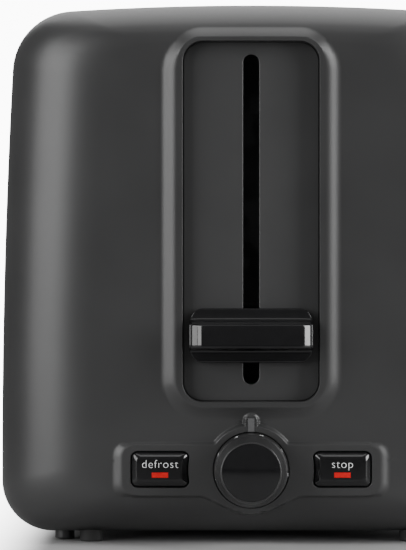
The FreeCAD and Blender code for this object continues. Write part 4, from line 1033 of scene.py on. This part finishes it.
class TOASTER_OT_rear_cap(bpy.types.Operator):
    """Give the rear cap and the tray handle the exact curvature of the body"""

    bl_idname = "toaster.rear_cap"
    bl_label = "Rear end"

    def execute(self, context):
        pillow = Pillow()

        def skin(x, y, z):
            return pillow.normals(x, y, z, REAR, -1)

        for name, node_name in (("rear_end", "rear_cap"), ("tray_grip", "tray_handle")):
            mesh = frame["nodes"][node_name].data.copy()
            work = bmesh.new()
            work.from_mesh(mesh)
            bmesh.ops.remove_doubles(work, verts=work.verts, dist=1e-6)
            work.to_mesh(mesh)
            work.free()
            shade_skin(mesh, skin)
            piece = new_object(name, mesh, material("case_plastic"))
            finish_piece(piece, node_name)
        return {"FINISHED"}


class TOASTER_OT_slot_panel(bpy.types.Operator):
    """Build the inset panel with the softened edge of the lever's slot"""

    bl_idname = "toaster.slot_panel"
    bl_label = "Slot panel"

    def execute(self, context):
        c = context.scene.toaster_controls
        low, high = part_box("slot_panel")
        edge = 0.35 * MM

        def slot(offset):
            return upright_loop(c.slot_half, c.slot_low, c.slot_high, c.slot_half * 0.98, offset)

        outline = rect_loop(low.x, high.x, low.z, high.z, c.frame_corner)
        clearance, ledge = 0.4 * MM, low.y + 0.8 * MM
        island = window_loop(-clearance)
        front, faces = triangulate(island, [slot(edge)])
        parts = [([(x, low.y, z) for x, z in front], faces)]
        front, faces = triangulate(outline, [island])
        parts.append(([(x, ledge, z) for x, z in front], faces))
        parts.append(loft([[(x, y, z) for x, z in island] for y in (low.y, ledge)], capped=False))
        parts.append(hole_wall(slot, low.y, high.y, edge))
        back, faces = triangulate(outline, [slot(0.0)])
        parts.append(([(x, high.y, z) for x, z in back], faces))
        sides = [[(x, y, z) for x, z in outline] for y in (ledge, high.y)]
        parts.append(loft(sides, capped=False))
        mesh = mesh_from(*join_parts(parts))
        smooth(mesh)
        finish_piece(new_object("lever_panel", mesh, material("panel_plastic")), "slot_panel")
        return {"FINISHED"}


class TOASTER_OT_lever(bpy.types.Operator):
    """Build the glossy lever: backing, swept grip bar and rounded ends"""

    bl_idname = "toaster.lever"
    bl_label = "Lever"

    def execute(self, context):
        low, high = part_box("lever_knob")
        half, middle, tall = high.x, (low.z + high.z) / 2, (high.z - low.z) / 2
        back, face, nose = high.y, FRONT - 1.4 * MM, low.y
        grip_top, grip_foot, shelf = 4.0 * MM, -4.1 * MM, 5.2 * MM
        corner, lean, undercut = 5.0 * MM, 0.4 * MM, 0.9 * MM
        path = filleted(
            [
                (back, tall - lean, 0),
                (face, tall, 0.5 * MM),
                (face, shelf, 2.4 * MM),
                (nose, grip_top, 0.8 * MM),
                (nose, grip_foot, 0.7 * MM),
                (face, grip_foot - undercut, 0.9 * MM),
                (face, -tall, 0.5 * MM),
                (back, -tall + lean, 0),
            ],
            6,
        )
        rings = []
        for y, dz in subdivided(path, 0.5 * MM):
            over = max(0.0, abs(dz) - (tall - corner))
            wide = half - (corner - math.sqrt(max(corner**2 - over**2, 0)))
            ring = self.level(y, half, wide, face, back)
            rings.append([(x, ring_y, middle + dz) for x, ring_y in ring])
        mesh = mesh_from(*loft(rings))
        smooth(mesh, 34)
        finish_piece(new_object("lever_grip", mesh, material("gloss_black")), "lever_knob")
        return {"FINISHED"}

    def level(self, y, half, wide, face, back):
        """Closed (x, y) loop of the lever at one height, whose middle stands out to y.

        The front is straight, then falls back over a curved facet and rounds off at the end."""
        straight, facet_end, drop, facet_curve = 16.5 * MM, 20.2 * MM, 0.155, 1.4
        soft, past_end = 0.35 * MM, 0.02 * MM

        def front_y(x):
            facet = min(max(x - straight, 0.0) / (facet_end - straight), 1.0)
            turn = min(max(x - facet_end, 0.0) / (half - facet_end + past_end), 1.0)
            reach = (1 - drop * facet**facet_curve) * math.sqrt(1 - turn * turn)
            return face + (y - face) * reach if y < face else y

        xs = [*np.linspace(0, straight, 7), straight + 0.15 * MM]
        xs += [*np.linspace(straight + 0.6 * MM, facet_end, 7)]
        xs += [*np.linspace(facet_end, half - soft, 5)[1:]]
        side = [(x * wide / half, front_y(x)) for x in xs]
        edge_x, edge_y = side[-1]
        for a in np.radians([30, 60, 90]):
            side.append((edge_x + soft * math.sin(a), min(back, edge_y + soft * (1 - math.cos(a)))))
        end_x = side[-1][0]
        right = side + [(end_x, back), (end_x * 0.5, back)]
        left = [(-x, side_y) for x, side_y in right[::-1]]
        return right + [(0.0, back)] + left[:-1]


def text_mesh(words, size, thick):
    """Flat letters centred on the origin, facing +Z, a little thinner and wider spaced than the font."""
    thinning, spacing = 0.018, 1.08
    curve = bpy.data.curves.new("letters", "FONT")
    curve.body, curve.size, curve.extrude = words, size, thick
    curve.align_x, curve.align_y = "CENTER", "CENTER"
    curve.resolution_u, curve.offset, curve.space_character = 4, -thinning * size, spacing
    writer = bpy.data.objects.new("letters", curve)
    bpy.context.scene.collection.objects.link(writer)
    mesh = evaluated_mesh(writer)
    bpy.data.objects.remove(writer)
    return mesh


class TOASTER_OT_knob(bpy.types.Operator):
    """Turn the browning knob and its glossy face, and print its numerals"""

    bl_idname = "toaster.knob"
    bl_label = "Browning knob"

    def execute(self, context):
        low, high = KNOB_BOX
        wall, bore = (high.z - low.z) / 2, 3 * MM
        face_low, face_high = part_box("knob_face")
        nose, back, clearance = face_low.y, high.y, 0.35 * MM
        face = (face_high.z - face_low.z) / 2 - clearance
        self.turn_body(wall, bore, face, nose, back)
        self.turn_disc(face - 0.03 * MM, face, nose)
        self.print_numerals(context.scene.toaster_controls, wall)
        return {"FINISHED"}

    def turn_body(self, wall, bore, face, nose, back):
        """Straight wall with a small step near the front, a rim, and the seat of the disc."""
        seat = nose + 3 * MM
        profile = filleted(
            [
                (bore, back, 0),
                (wall, back, 0.2 * MM),
                (wall, FRONT - 2 * MM, 2 * MM),
                (wall - 0.35 * MM, FRONT - 8 * MM, 0.3 * MM),
                (wall - 0.8 * MM, FRONT - 8.6 * MM, 0.3 * MM),
                (face + 0.62 * MM, nose + 1.1 * MM, 0.35 * MM),
                (face + 0.05 * MM, nose + 1.0 * MM, 0.12 * MM),
                (face + 0.02 * MM, seat, 0),
                (bore, seat, 0),
            ]
        )
        body = mesh_from(*loft([circle_ring(radius, y, 128) for radius, y in profile]))
        smooth(body, 32)
        finish_piece(new_object("knob_body", body, material("knob_satin")), "browning_knob")

    def turn_disc(self, edge, face, nose):
        """Disc with a shallow dome, as a part of a sphere."""
        dome, steps = 1.0 * MM, 14
        sphere = (face**2 + dome**2) / (2 * dome)
        rings = [circle_ring(edge, nose + 2.9 * MM, 128)]
        for step in range(steps, 0, -1):
            radius = edge * step / steps
            rings.append(circle_ring(radius, nose + sphere - math.sqrt(sphere**2 - radius**2), 128))
        disc = mesh_from(*loft(rings))
        smooth(disc, 32)
        finish_piece(new_object("knob_disc", disc, material("gloss_black")), "knob_face")

    def print_numerals(self, c, wall):
        """Numerals bent round the knob's wall, upright when they stand at the pointer."""
        middle_y, size, thick, sunk = FRONT - 5.2 * MM, 3.6 * MM, 0.05 * MM, 0.17 * MM
        first_turn = -c.numeral_step * (c.numerals - 1) / 2 - math.radians(3.5)
        parts = []
        for i in range(c.numerals):
            letters = text_mesh(str(i + 1), size, thick)
            points = []
            for vertex in letters.vertices:
                radius = wall - sunk + vertex.co.z
                angle = first_turn + i * c.numeral_step + vertex.co.x / wall
                x, z = radius * math.sin(angle), KNOB_Z + radius * math.cos(angle)
                points.append((x, middle_y + vertex.co.y, z))
            parts.append((points, [tuple(polygon.vertices) for polygon in letters.polygons]))
        mesh = mesh_from(*join_parts(parts), weld=1e-6)
        numerals = new_object("knob_numerals", mesh, material("legend_print"))
        add_trim(numerals, "browning_knob")


class TOASTER_OT_buttons(bpy.types.Operator):
    """Build the two push buttons with bevelled keys and plain legends"""

    bl_idname = "toaster.buttons"
    bl_label = "Buttons"

    def execute(self, context):
        c = context.scene.toaster_controls
        gap, bevel, rim, back = 0.3 * MM, c.button_bevel, FRONT - 0.75 * MM, FRONT + 3.0 * MM
        for word, sign in (("defrost", -1), ("stop", 1)):
            key_node = word + "_button"
            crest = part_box(key_node)[0].y
            steps = [
                (gap, back),
                (gap, rim + 0.1 * MM),
                (gap + 0.1 * MM, rim - 0.15 * MM),
                (gap + 0.35 * MM, rim - 0.45 * MM),
                (gap + bevel - 0.35 * MM, crest + 0.28 * MM),
                (gap + bevel - 0.08 * MM, crest + 0.06 * MM),
                (gap + bevel + 0.2 * MM, crest),
                (gap + bevel + 0.8 * MM, crest),
            ]
            rings = [[(x, y, z) for x, z in button_loop(sign, -shrink)] for shrink, y in steps]
            key = mesh_from(*loft(rings))
            smooth(key, 28)
            finish_piece(new_object(word + "_key", key, material("gloss_black")), key_node)
            if c.legends:
                self.print_legend(word, key_node, sign * c.button_x, crest)
        return {"FINISHED"}

    def print_legend(self, word, key_node, x, crest):
        """The key's plain word, above its red lens."""
        height, size, thick = 28.6 * MM, 4.1 * MM, 0.03 * MM
        letters = text_mesh(word, size, thick)
        letters.transform(Matrix.Translation((x, crest, height)) @ Matrix.Rotation(QUARTER, 4, "X"))
        legend = new_object(word + "_legend", letters, material("legend_print"))
        add_trim(legend, key_node)


# ---- repeated pieces by geometry nodes ------------------------------------------------
def start_tree(name, *labels):
    """Geometry node tree with a named number input for each label."""
    tree = bpy.data.node_groups.new(name, "GeometryNodeTree")
    tree.interface.new_socket(name="Geometry", in_out="INPUT", socket_type="NodeSocketGeometry")
    sockets = {
        label: tree.interface.new_socket(name=label, in_out="INPUT", socket_type="NodeSocketFloat")
        for label in labels
    }
    tree.interface.new_socket(name="Geometry", in_out="OUTPUT", socket_type="NodeSocketGeometry")
    given, output = node(tree, "NodeGroupInput", (-900, 0)), node(tree, "NodeGroupOutput", (900, 0))
    return tree, sockets, given, output


def sweep_at_points(tree, given, path, profile, filled=False):
    """One profile swept along a path, set at each of the given points; gives the placing node."""
    sweep = node(tree, "GeometryNodeCurveToMesh", (-200, 0))
    sweep.inputs["Fill Caps"].default_value = filled
    tree.links.new(path.outputs["Curve"], sweep.inputs["Curve"])
    tree.links.new(profile.outputs["Curve"], sweep.inputs["Profile Curve"])
    place = node(tree, "GeometryNodeInstanceOnPoints", (100, 0))
    tree.links.new(given.outputs["Geometry"], place.inputs["Points"])
    tree.links.new(sweep.outputs["Mesh"], place.inputs["Instance"])
    return place


def random_turns(tree, place, least, most, seed):
    """Small differences in how each piece is turned."""
    turn = node(tree, "FunctionNodeRandomValue", (-100, -300), data_type="FLOAT_VECTOR")
    turn.inputs["Min"].default_value = least
    turn.inputs["Max"].default_value = most
    turn.inputs["Seed"].default_value = seed
    tree.links.new(turn.outputs["Value"], place.inputs["Rotation"])


def end_tree(tree, output, geometry, finish):
    """Realize the instances, set their material and send them out."""
    realize = node(tree, "GeometryNodeRealizeInstances", (500, 0))
    paint = node(tree, "GeometryNodeSetMaterial", (700, 0))
    paint.inputs["Material"].default_value = finish
    tree.links.new(geometry, realize.inputs["Geometry"])
    tree.links.new(realize.outputs["Geometry"], paint.inputs["Geometry"])
    tree.links.new(paint.outputs["Geometry"], output.inputs["Geometry"])


def run_tree(name, tree, sockets, values, points, finish):
    """Plain mesh object made by a tree from a cloud of points."""
    carrier_mesh = bpy.data.meshes.new("points")
    carrier_mesh.from_pydata([tuple(p) for p in points], [], [])
    carrier = bpy.data.objects.new("carrier", carrier_mesh)
    bpy.context.scene.collection.objects.link(carrier)
    modifier = carrier.modifiers.new("build", "NODES")
    modifier.node_group = tree
    for label, value in values.items():
        modifier[sockets[label].identifier] = value
    made = evaluated_mesh(carrier)
    bpy.data.objects.remove(carrier)
    if not made.polygons:
        raise RuntimeError(name + " came out empty")
    return new_object(name, made, finish)


def screw_tree(finish):
    """Round heads with a crossed recess, one at each point, facing down."""
    past_edge, past_face = 1.15, 0.6 * MM  # how far the recess's bars reach past the head
    tree, sockets, given, output = start_tree(
        "screw heads", "Head radius", "Head height", "Recess", "Length"
    )
    head = node(tree, "GeometryNodeMeshCylinder", (-600, 200))
    head.inputs["Vertices"].default_value = 40
    tree.links.new(given.outputs["Head radius"], head.inputs["Radius"])
    tree.links.new(given.outputs["Head height"], head.inputs["Depth"])
    bars = node(tree, "GeometryNodeJoinGeometry", (-200, -100))
    for long_axis, short_axis in (("X", "Y"), ("Y", "X")):
        size = node(tree, "ShaderNodeCombineXYZ", (-600, -100))
        bar = node(tree, "GeometryNodeMeshCube", (-400, -100))
        reach = node(tree, "ShaderNodeMath", (-700, -200), operation="MULTIPLY")
        reach.inputs[1].default_value = past_edge
        tree.links.new(given.outputs["Head radius"], reach.inputs[0])
        tree.links.new(reach.outputs["Value"], size.inputs[long_axis])
        tree.links.new(given.outputs["Recess"], size.inputs[short_axis])
        tree.links.new(given.outputs["Head height"], size.inputs["Z"])
        tree.links.new(size.outputs["Vector"], bar.inputs["Size"])
        tree.links.new(bar.outputs["Mesh"], bars.inputs["Geometry"])
    lower = node(tree, "GeometryNodeTransform", (0, -100))
    lower.inputs["Translation"].default_value = (0, 0, -past_face)
    tree.links.new(bars.outputs["Geometry"], lower.inputs["Geometry"])
    cut = node(tree, "GeometryNodeMeshBoolean", (100, 100), operation="DIFFERENCE")
    tree.links.new(head.outputs["Mesh"], cut.inputs["Mesh 1"])
    tree.links.new(lower.outputs["Geometry"], cut.inputs["Mesh 2"])
    shank = node(tree, "GeometryNodeMeshCylinder", (-600, -400))
    shank.inputs["Vertices"].default_value = 24
    shank.inputs["Radius"].default_value = 1.35 * MM
    tree.links.new(given.outputs["Length"], shank.inputs["Depth"])
    lift = node(tree, "ShaderNodeMath", (-600, -600), operation="MULTIPLY")
    lift.inputs[1].default_value = 0.5
    tree.links.new(given.outputs["Length"], lift.inputs[0])
    raised = node(tree, "ShaderNodeCombineXYZ", (-400, -600))
    tree.links.new(lift.outputs["Value"], raised.inputs["Z"])
    shift = node(tree, "GeometryNodeTransform", (-200, -400))
    tree.links.new(shank.outputs["Mesh"], shift.inputs["Geometry"])
    tree.links.new(raised.outputs["Vector"], shift.inputs["Translation"])
    both = node(tree, "GeometryNodeJoinGeometry", (250, 0))
    tree.links.new(cut.outputs["Mesh"], both.inputs["Geometry"])
    tree.links.new(shift.outputs["Geometry"], both.inputs["Geometry"])
    place = node(tree, "GeometryNodeInstanceOnPoints", (380, 0))
    tree.links.new(given.outputs["Geometry"], place.inputs["Points"])
    tree.links.new(both.outputs["Geometry"], place.inputs["Instance"])
    random_turns(tree, place, (0, 0, 0), (0, 0, math.pi), seed=4)
    end_tree(tree, output, place.outputs["Instances"], finish)
    return tree, sockets


class TOASTER_OT_screws(bpy.types.Operator):
    """Place the cross-headed screws under the caps and the base"""

    bl_idname = "toaster.screws"
    bl_label = "Screws"

    def execute(self, context):
        finish = material("screw_zinc")
        tree, sockets = screw_tree(finish)
        for name, node_name, head in (
            ("cap_screw_heads", "cap_screws", 1.0 * MM),
            ("base_screw_heads", "bulkhead_screws", 0.9 * MM),
        ):
            low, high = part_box(node_name)
            points = [(x, y, low.z + head / 2) for x, y in screw_places(node_name)]
            values = {
                "Head radius": 2.95 * MM,
                "Head height": head,
                "Recess": 0.75 * MM,
                "Length": high.z - low.z - head / 2,
            }
            piece = run_tree(name, tree, sockets, values, points, finish)
            smooth(piece.data, 30)
            finish_piece(piece, node_name)
        return {"FINISHED"}


class TOASTER_OT_springs(bpy.types.Operator):
    """Wind the two return springs at one length; the real ones shorten as the carriage rises"""

    bl_idname = "toaster.springs"
    bl_label = "Return springs"

    def execute(self, context):
        finish = material("bright_steel")
        tree, sockets, given, output = start_tree(
            "return spring", "Height", "Coil radius", "Wire radius", "Turns"
        )
        spiral = node(tree, "GeometryNodeCurveSpiral", (-500, 100))
        spiral.inputs["Resolution"].default_value = 20
        tree.links.new(given.outputs["Turns"], spiral.inputs["Rotations"])
        tree.links.new(given.outputs["Height"], spiral.inputs["Height"])
        for end in ("Start Radius", "End Radius"):
            tree.links.new(given.outputs["Coil radius"], spiral.inputs[end])
        wire = node(tree, "GeometryNodeCurvePrimitiveCircle", (-500, -200))
        wire.inputs["Resolution"].default_value = 10
        tree.links.new(given.outputs["Wire radius"], wire.inputs["Radius"])
        place = sweep_at_points(tree, given, spiral, wire, filled=True)
        end_tree(tree, output, place.outputs["Instances"], finish)

        joint = next(j for j in frame["joints"] if j["name"] == "carriage_slide")
        travel, wire_radius, turns = joint["range_m"][1], 0.45 * MM, 26.0
        for side in ("left", "right"):
            node_name = "return_spring_" + side
            low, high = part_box(node_name)
            middle, tall = (low + high) / 2, high.z - low.z - 2 * wire_radius
            point = (middle.x, middle.y, low.z + wire_radius)
            values = {
                "Height": tall,
                "Coil radius": (high.x - low.x) / 2 - wire_radius,
                "Wire radius": wire_radius,
                "Turns": turns,
            }
            piece = run_tree("spring_" + side, tree, sockets, values, [point], finish)
            smooth(piece.data, 60)
            finish_piece(piece, node_name)
            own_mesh(piece)
        return {"FINISHED"}


class TOASTER_OT_heaters(bpy.types.Operator):
    """Wind the flat heater ribbon round each mica board"""

    bl_idname = "toaster.heaters"
    bl_label = "Heater windings"

    def execute(self, context):
        finish = material("heater_alloy")
        tree, sockets, given, output = start_tree("heater windings", "Width", "Depth", "Tall", "Thick")
        loop = node(tree, "GeometryNodeCurvePrimitiveQuadrilateral", (-500, 100))
        tree.links.new(given.outputs["Width"], loop.inputs["Width"])
        tree.links.new(given.outputs["Depth"], loop.inputs["Height"])
        strip = node(tree, "GeometryNodeCurvePrimitiveQuadrilateral", (-500, -200))
        tree.links.new(given.outputs["Thick"], strip.inputs["Width"])
        tree.links.new(given.outputs["Tall"], strip.inputs["Height"])
        place, lean = sweep_at_points(tree, given, loop, strip), 0.004
        random_turns(tree, place, (-lean, 0, 0), (lean, 0, 0), seed=11)
        end_tree(tree, output, place.outputs["Instances"], finish)

        tall, thick, loops = 1.6 * MM, 0.3 * MM, 10
        for side in ("left_outer", "left_inner", "right_inner", "right_outer"):
            node_name = "heater_ribbon_" + side
            low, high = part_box(node_name)
            middle = (low + high) / 2
            heights = np.linspace(low.z + tall / 2, high.z - tall / 2, loops)
            values = {
                "Width": high.x - low.x - thick,
                "Depth": high.y - low.y - thick,
                "Tall": tall,
                "Thick": thick,
            }
            points = [(middle.x, middle.y, z) for z in heights]
            piece = run_tree("winding_" + side, tree, sockets, values, points, finish)
            finish_piece(piece, node_name)
        return {"FINISHED"}


class TOASTER_OT_feet(bpy.types.Operator):
    """Turn the rubber feet and the small posts beside them, with softened edges"""

    bl_idname = "toaster.feet"
    bl_label = "Feet"

    def execute(self, context):
        for name, node_name, radius, finish in (
            ("feet", "rubber_feet", 4.2 * MM, "foot_rubber"),
            ("cleats", "cord_cleats", 3.5 * MM, "case_plastic"),
        ):
            low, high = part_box(node_name)
            profile = self.profile(radius, low.z)
            parts = [
                loft([upright_ring(ring_radius, z, x, y) for ring_radius, z in profile])
                for x in (low.x + radius, high.x - radius)
                for y in (low.y + radius, high.y - radius)
            ]
            mesh = mesh_from(*join_parts(parts))
            smooth(mesh, 40)
            finish_piece(new_object(name, mesh, material(finish)), node_name)
        return {"FINISHED"}

    def profile(self, radius, floor):
        """Radii and heights of a foot: a hollow under it, a ring that it stands on, a slight taper."""
        hollow, tall = 0.25 * MM, 4.6 * MM
        points = [
            (0.4 * MM, floor + hollow, 0),
            (radius * 0.55, floor + hollow, 0.1 * MM),
            (radius * 0.62, floor, 0.1 * MM),
            (radius, floor, 0.5 * MM),
            (radius * 0.97, floor + tall, 0),
        ]
        return filleted(points, 4)


# ---- stage ----------------------------------------------------------------------------
def add_area(name, place, target, size, power):
    """Soft rectangular light that faces a point and isn't seen by the camera."""
    data = bpy.data.lights.new(name, "AREA")
    data.shape, data.size, data.size_y = "RECTANGLE", *size
    data.energy = power
    lamp = bpy.data.objects.new(name, data)
    bpy.context.scene.collection.objects.link(lamp)
    lamp.location = place
    lamp.rotation_euler = (Vector(target) - Vector(place)).to_track_quat("-Z", "Y").to_euler()
    lamp.visible_camera = False


def multiply(tree, first, second, place):
    """Product of an output and an output or a number."""
    product = node(tree, "ShaderNodeMath", place, operation="MULTIPLY")
    tree.links.new(first, product.inputs[0])
    if isinstance(second, float):
        product.inputs[1].default_value = second
    else:
        tree.links.new(second, product.inputs[1])
    return product.outputs["Value"]


class TOASTER_OT_stage(bpy.types.Operator):
    """Set a plain pale floor, soft studio light and the camera"""

    bl_idname = "toaster.stage"
    bl_label = "Stage"

    def execute(self, context):
        s = context.scene.toaster_studio
        self.lay_floor(s)
        self.hang_lights(s)
        self.light_surroundings(context, s)
        camera = bpy.data.objects.new("camera", bpy.data.cameras.new("camera"))
        context.scene.collection.objects.link(camera)
        camera.location = (0, FRONT - s.distance, s.eye)
        camera.rotation_euler = (QUARTER, 0, 0)
        camera.data.lens, camera.data.shift_x, camera.data.sensor_width = s.lens, s.shift, 36
        context.scene.camera = camera
        return {"FINISHED"}

    def distance_from_body(self, tree, point):
        """Distance of a point on the floor from the toaster's footprint."""
        under = 0.02
        across = node(tree, "ShaderNodeVectorMath", (-900, 500), operation="ABSOLUTE")
        outside = node(tree, "ShaderNodeVectorMath", (-750, 500), operation="SUBTRACT")
        outside.inputs[1].default_value = (CAD_BOX[1].x - under, CAD_BOX[1].y, 1)
        beyond = node(tree, "ShaderNodeVectorMath", (-600, 500), operation="MAXIMUM")
        away = node(tree, "ShaderNodeVectorMath", (-450, 500), operation="LENGTH")
        tree.links.new(point, across.inputs[0])
        tree.links.new(across.outputs["Vector"], outside.inputs[0])
        tree.links.new(outside.outputs["Vector"], beyond.inputs[0])
        tree.links.new(beyond.outputs["Vector"], away.inputs[0])
        return away.outputs["Value"]

    def lay_floor(self, s):
        """Pale floor that fades into the bright backdrop away from the toaster, by a painted glow.

        The glow, seen only by the camera, is 1 - 1 / (1 + (distance / fade) ** 2): faint beside the toaster, so it
        paints a shade round it, added to the real contact shadow."""
        reach, fade = 2.35, 0.028
        near_grey, far_grey, grey_span = (0.42,) * 3, (0.03,) * 3, (0.04, 0.5)
        mesh = bpy.data.meshes.new("floor")
        corners = [(-reach, -reach, 0), (reach, -reach, 0), (reach, reach, 0), (-reach, reach, 0)]
        mesh.from_pydata(corners, [], [(0, 1, 2, 3)])
        tree, shader = start_material("floor", (0.8, 0.8, 0.8), 0.55)
        glow = self.distance_from_body(tree, object_point(tree))
        # Base colour: pale beside the toaster, nearly black far off, where the painted glow stands in for the lit
        # floor.
        tint(tree, shader, glow, near_grey, far_grey, grey_span)
        for i, (operation, order, number) in enumerate(
            (("DIVIDE", 0, fade), ("POWER", 0, 2), ("ADD", 0, 1), ("DIVIDE", 1, 1), ("SUBTRACT", 1, 1))
        ):
            step = node(tree, "ShaderNodeMath", (-300 + 60 * i, 500), operation=operation)
            step.inputs[1 - order].default_value = number
            tree.links.new(glow, step.inputs[order])
            glow = step.outputs["Value"]
        # Painted glow and painted shade: the floor glows for the camera only, at the backdrop's strength, and is
        # weakest beside the toaster.
        path = node(tree, "ShaderNodeLightPath", (-300, 800))
        seen = multiply(tree, glow, path.outputs["Is Camera Ray"], (-100, 600))
        shader.inputs["Emission Color"].default_value = (1, 1, 1, 1)
        tree.links.new(multiply(tree, seen, s.backdrop, (100, 600)), shader.inputs["Emission Strength"])
        new_object("floor", mesh, material("floor"))

    def hang_lights(self, s):
        aim, crown = (0, 0, 0.1), (0, 0, CAD_BOX[1].z)
        add_area("left_key", (-1.1, -1.2, 0.35), aim, (0.5, 1.2), 14.4 * s.key)
        add_area("left_side", (-1.35, -0.75, 0.45), aim, (0.5, 1.5), 14.2 * s.side)
        add_area("right_side", (1.35, -0.75, 0.45), aim, (0.5, 1.5), 38 * s.side)
        add_area("top_light", (0, 0.4, 1.45), crown, (1.6, 1.3), 13.8 * s.top)
        add_area("brow_light", (0, -0.55, 1.3), crown, (1.4, 0.15), 1.3 * s.top)
        add_area("back_light", (0, 1.3, 1.0), crown, (1.6, 0.8), 5.8 * s.top)

    def light_surroundings(self, context, s):
        """White surroundings: bright to the camera, faint as light."""
        world = bpy.data.worlds.new("studio")
        context.scene.world = world
        world.use_nodes = True
        tree = world.node_tree
        tree.nodes.clear()
        path, mix = node(tree, "ShaderNodeLightPath"), node(tree, "ShaderNodeMixShader")
        tree.links.new(path.outputs["Is Camera Ray"], mix.inputs["Fac"])
        for i, strength in enumerate((s.fill, s.backdrop)):
            white = node(tree, "ShaderNodeBackground", (0, -200 * i))
            white.inputs["Color"].default_value = (1, 1, 1, 1)
            white.inputs["Strength"].default_value = strength
            tree.links.new(white.outputs["Background"], mix.inputs[1 + i])
        output = node(tree, "ShaderNodeOutputWorld")
        tree.links.new(mix.outputs["Shader"], output.inputs["Surface"])


OPERATORS = (
    TOASTER_OT_finishes,
    TOASTER_OT_front_cap,
    TOASTER_OT_rear_cap,
    TOASTER_OT_slot_panel,
    TOASTER_OT_lever,
    TOASTER_OT_knob,
    TOASTER_OT_buttons,
    TOASTER_OT_screws,
    TOASTER_OT_springs,
    TOASTER_OT_heaters,
    TOASTER_OT_feet,
    TOASTER_OT_stage,
)
GROUPS = {
    "toaster_body": ToasterBody,
    "toaster_controls": ToasterControls,
    "toaster_finish": ToasterFinish,
    "toaster_studio": ToasterStudio,
}


class TOASTER_PT_panel(bpy.types.Panel):
    """Lists the pieces in the order they are built"""

    bl_idname = "TOASTER_PT_panel"
    bl_label = "Toaster"
    bl_space_type = "VIEW_3D"
    bl_region_type = "UI"
    bl_category = "Toaster"

    def draw(self, context):
        column = self.layout.column()
        for operator in OPERATORS:
            column.operator(operator.bl_idname)
        for group in GROUPS:
            box = self.layout.box()
            for name in getattr(context.scene, group).bl_rna.properties.keys():
                if name not in ("rna_type", "name"):
                    box.prop(getattr(context.scene, group), name)


def register():
    for group in GROUPS.values():
        bpy.utils.register_class(group)
    for name, group in GROUPS.items():
        setattr(bpy.types.Scene, name, PointerProperty(type=group))
    for operator in OPERATORS:
        bpy.utils.register_class(operator)
    bpy.utils.register_class(TOASTER_PT_panel)


def unregister():
    bpy.utils.unregister_class(TOASTER_PT_panel)
    for operator in reversed(OPERATORS):
        bpy.utils.unregister_class(operator)
    for name, group in GROUPS.items():
        delattr(bpy.types.Scene, name)
        bpy.utils.unregister_class(group)


def main():
    register()
    for operator in OPERATORS:
        group, name = operator.bl_idname.split(".")
        getattr(getattr(bpy.ops, group), name)()


if __name__ == "__main__":
    main()
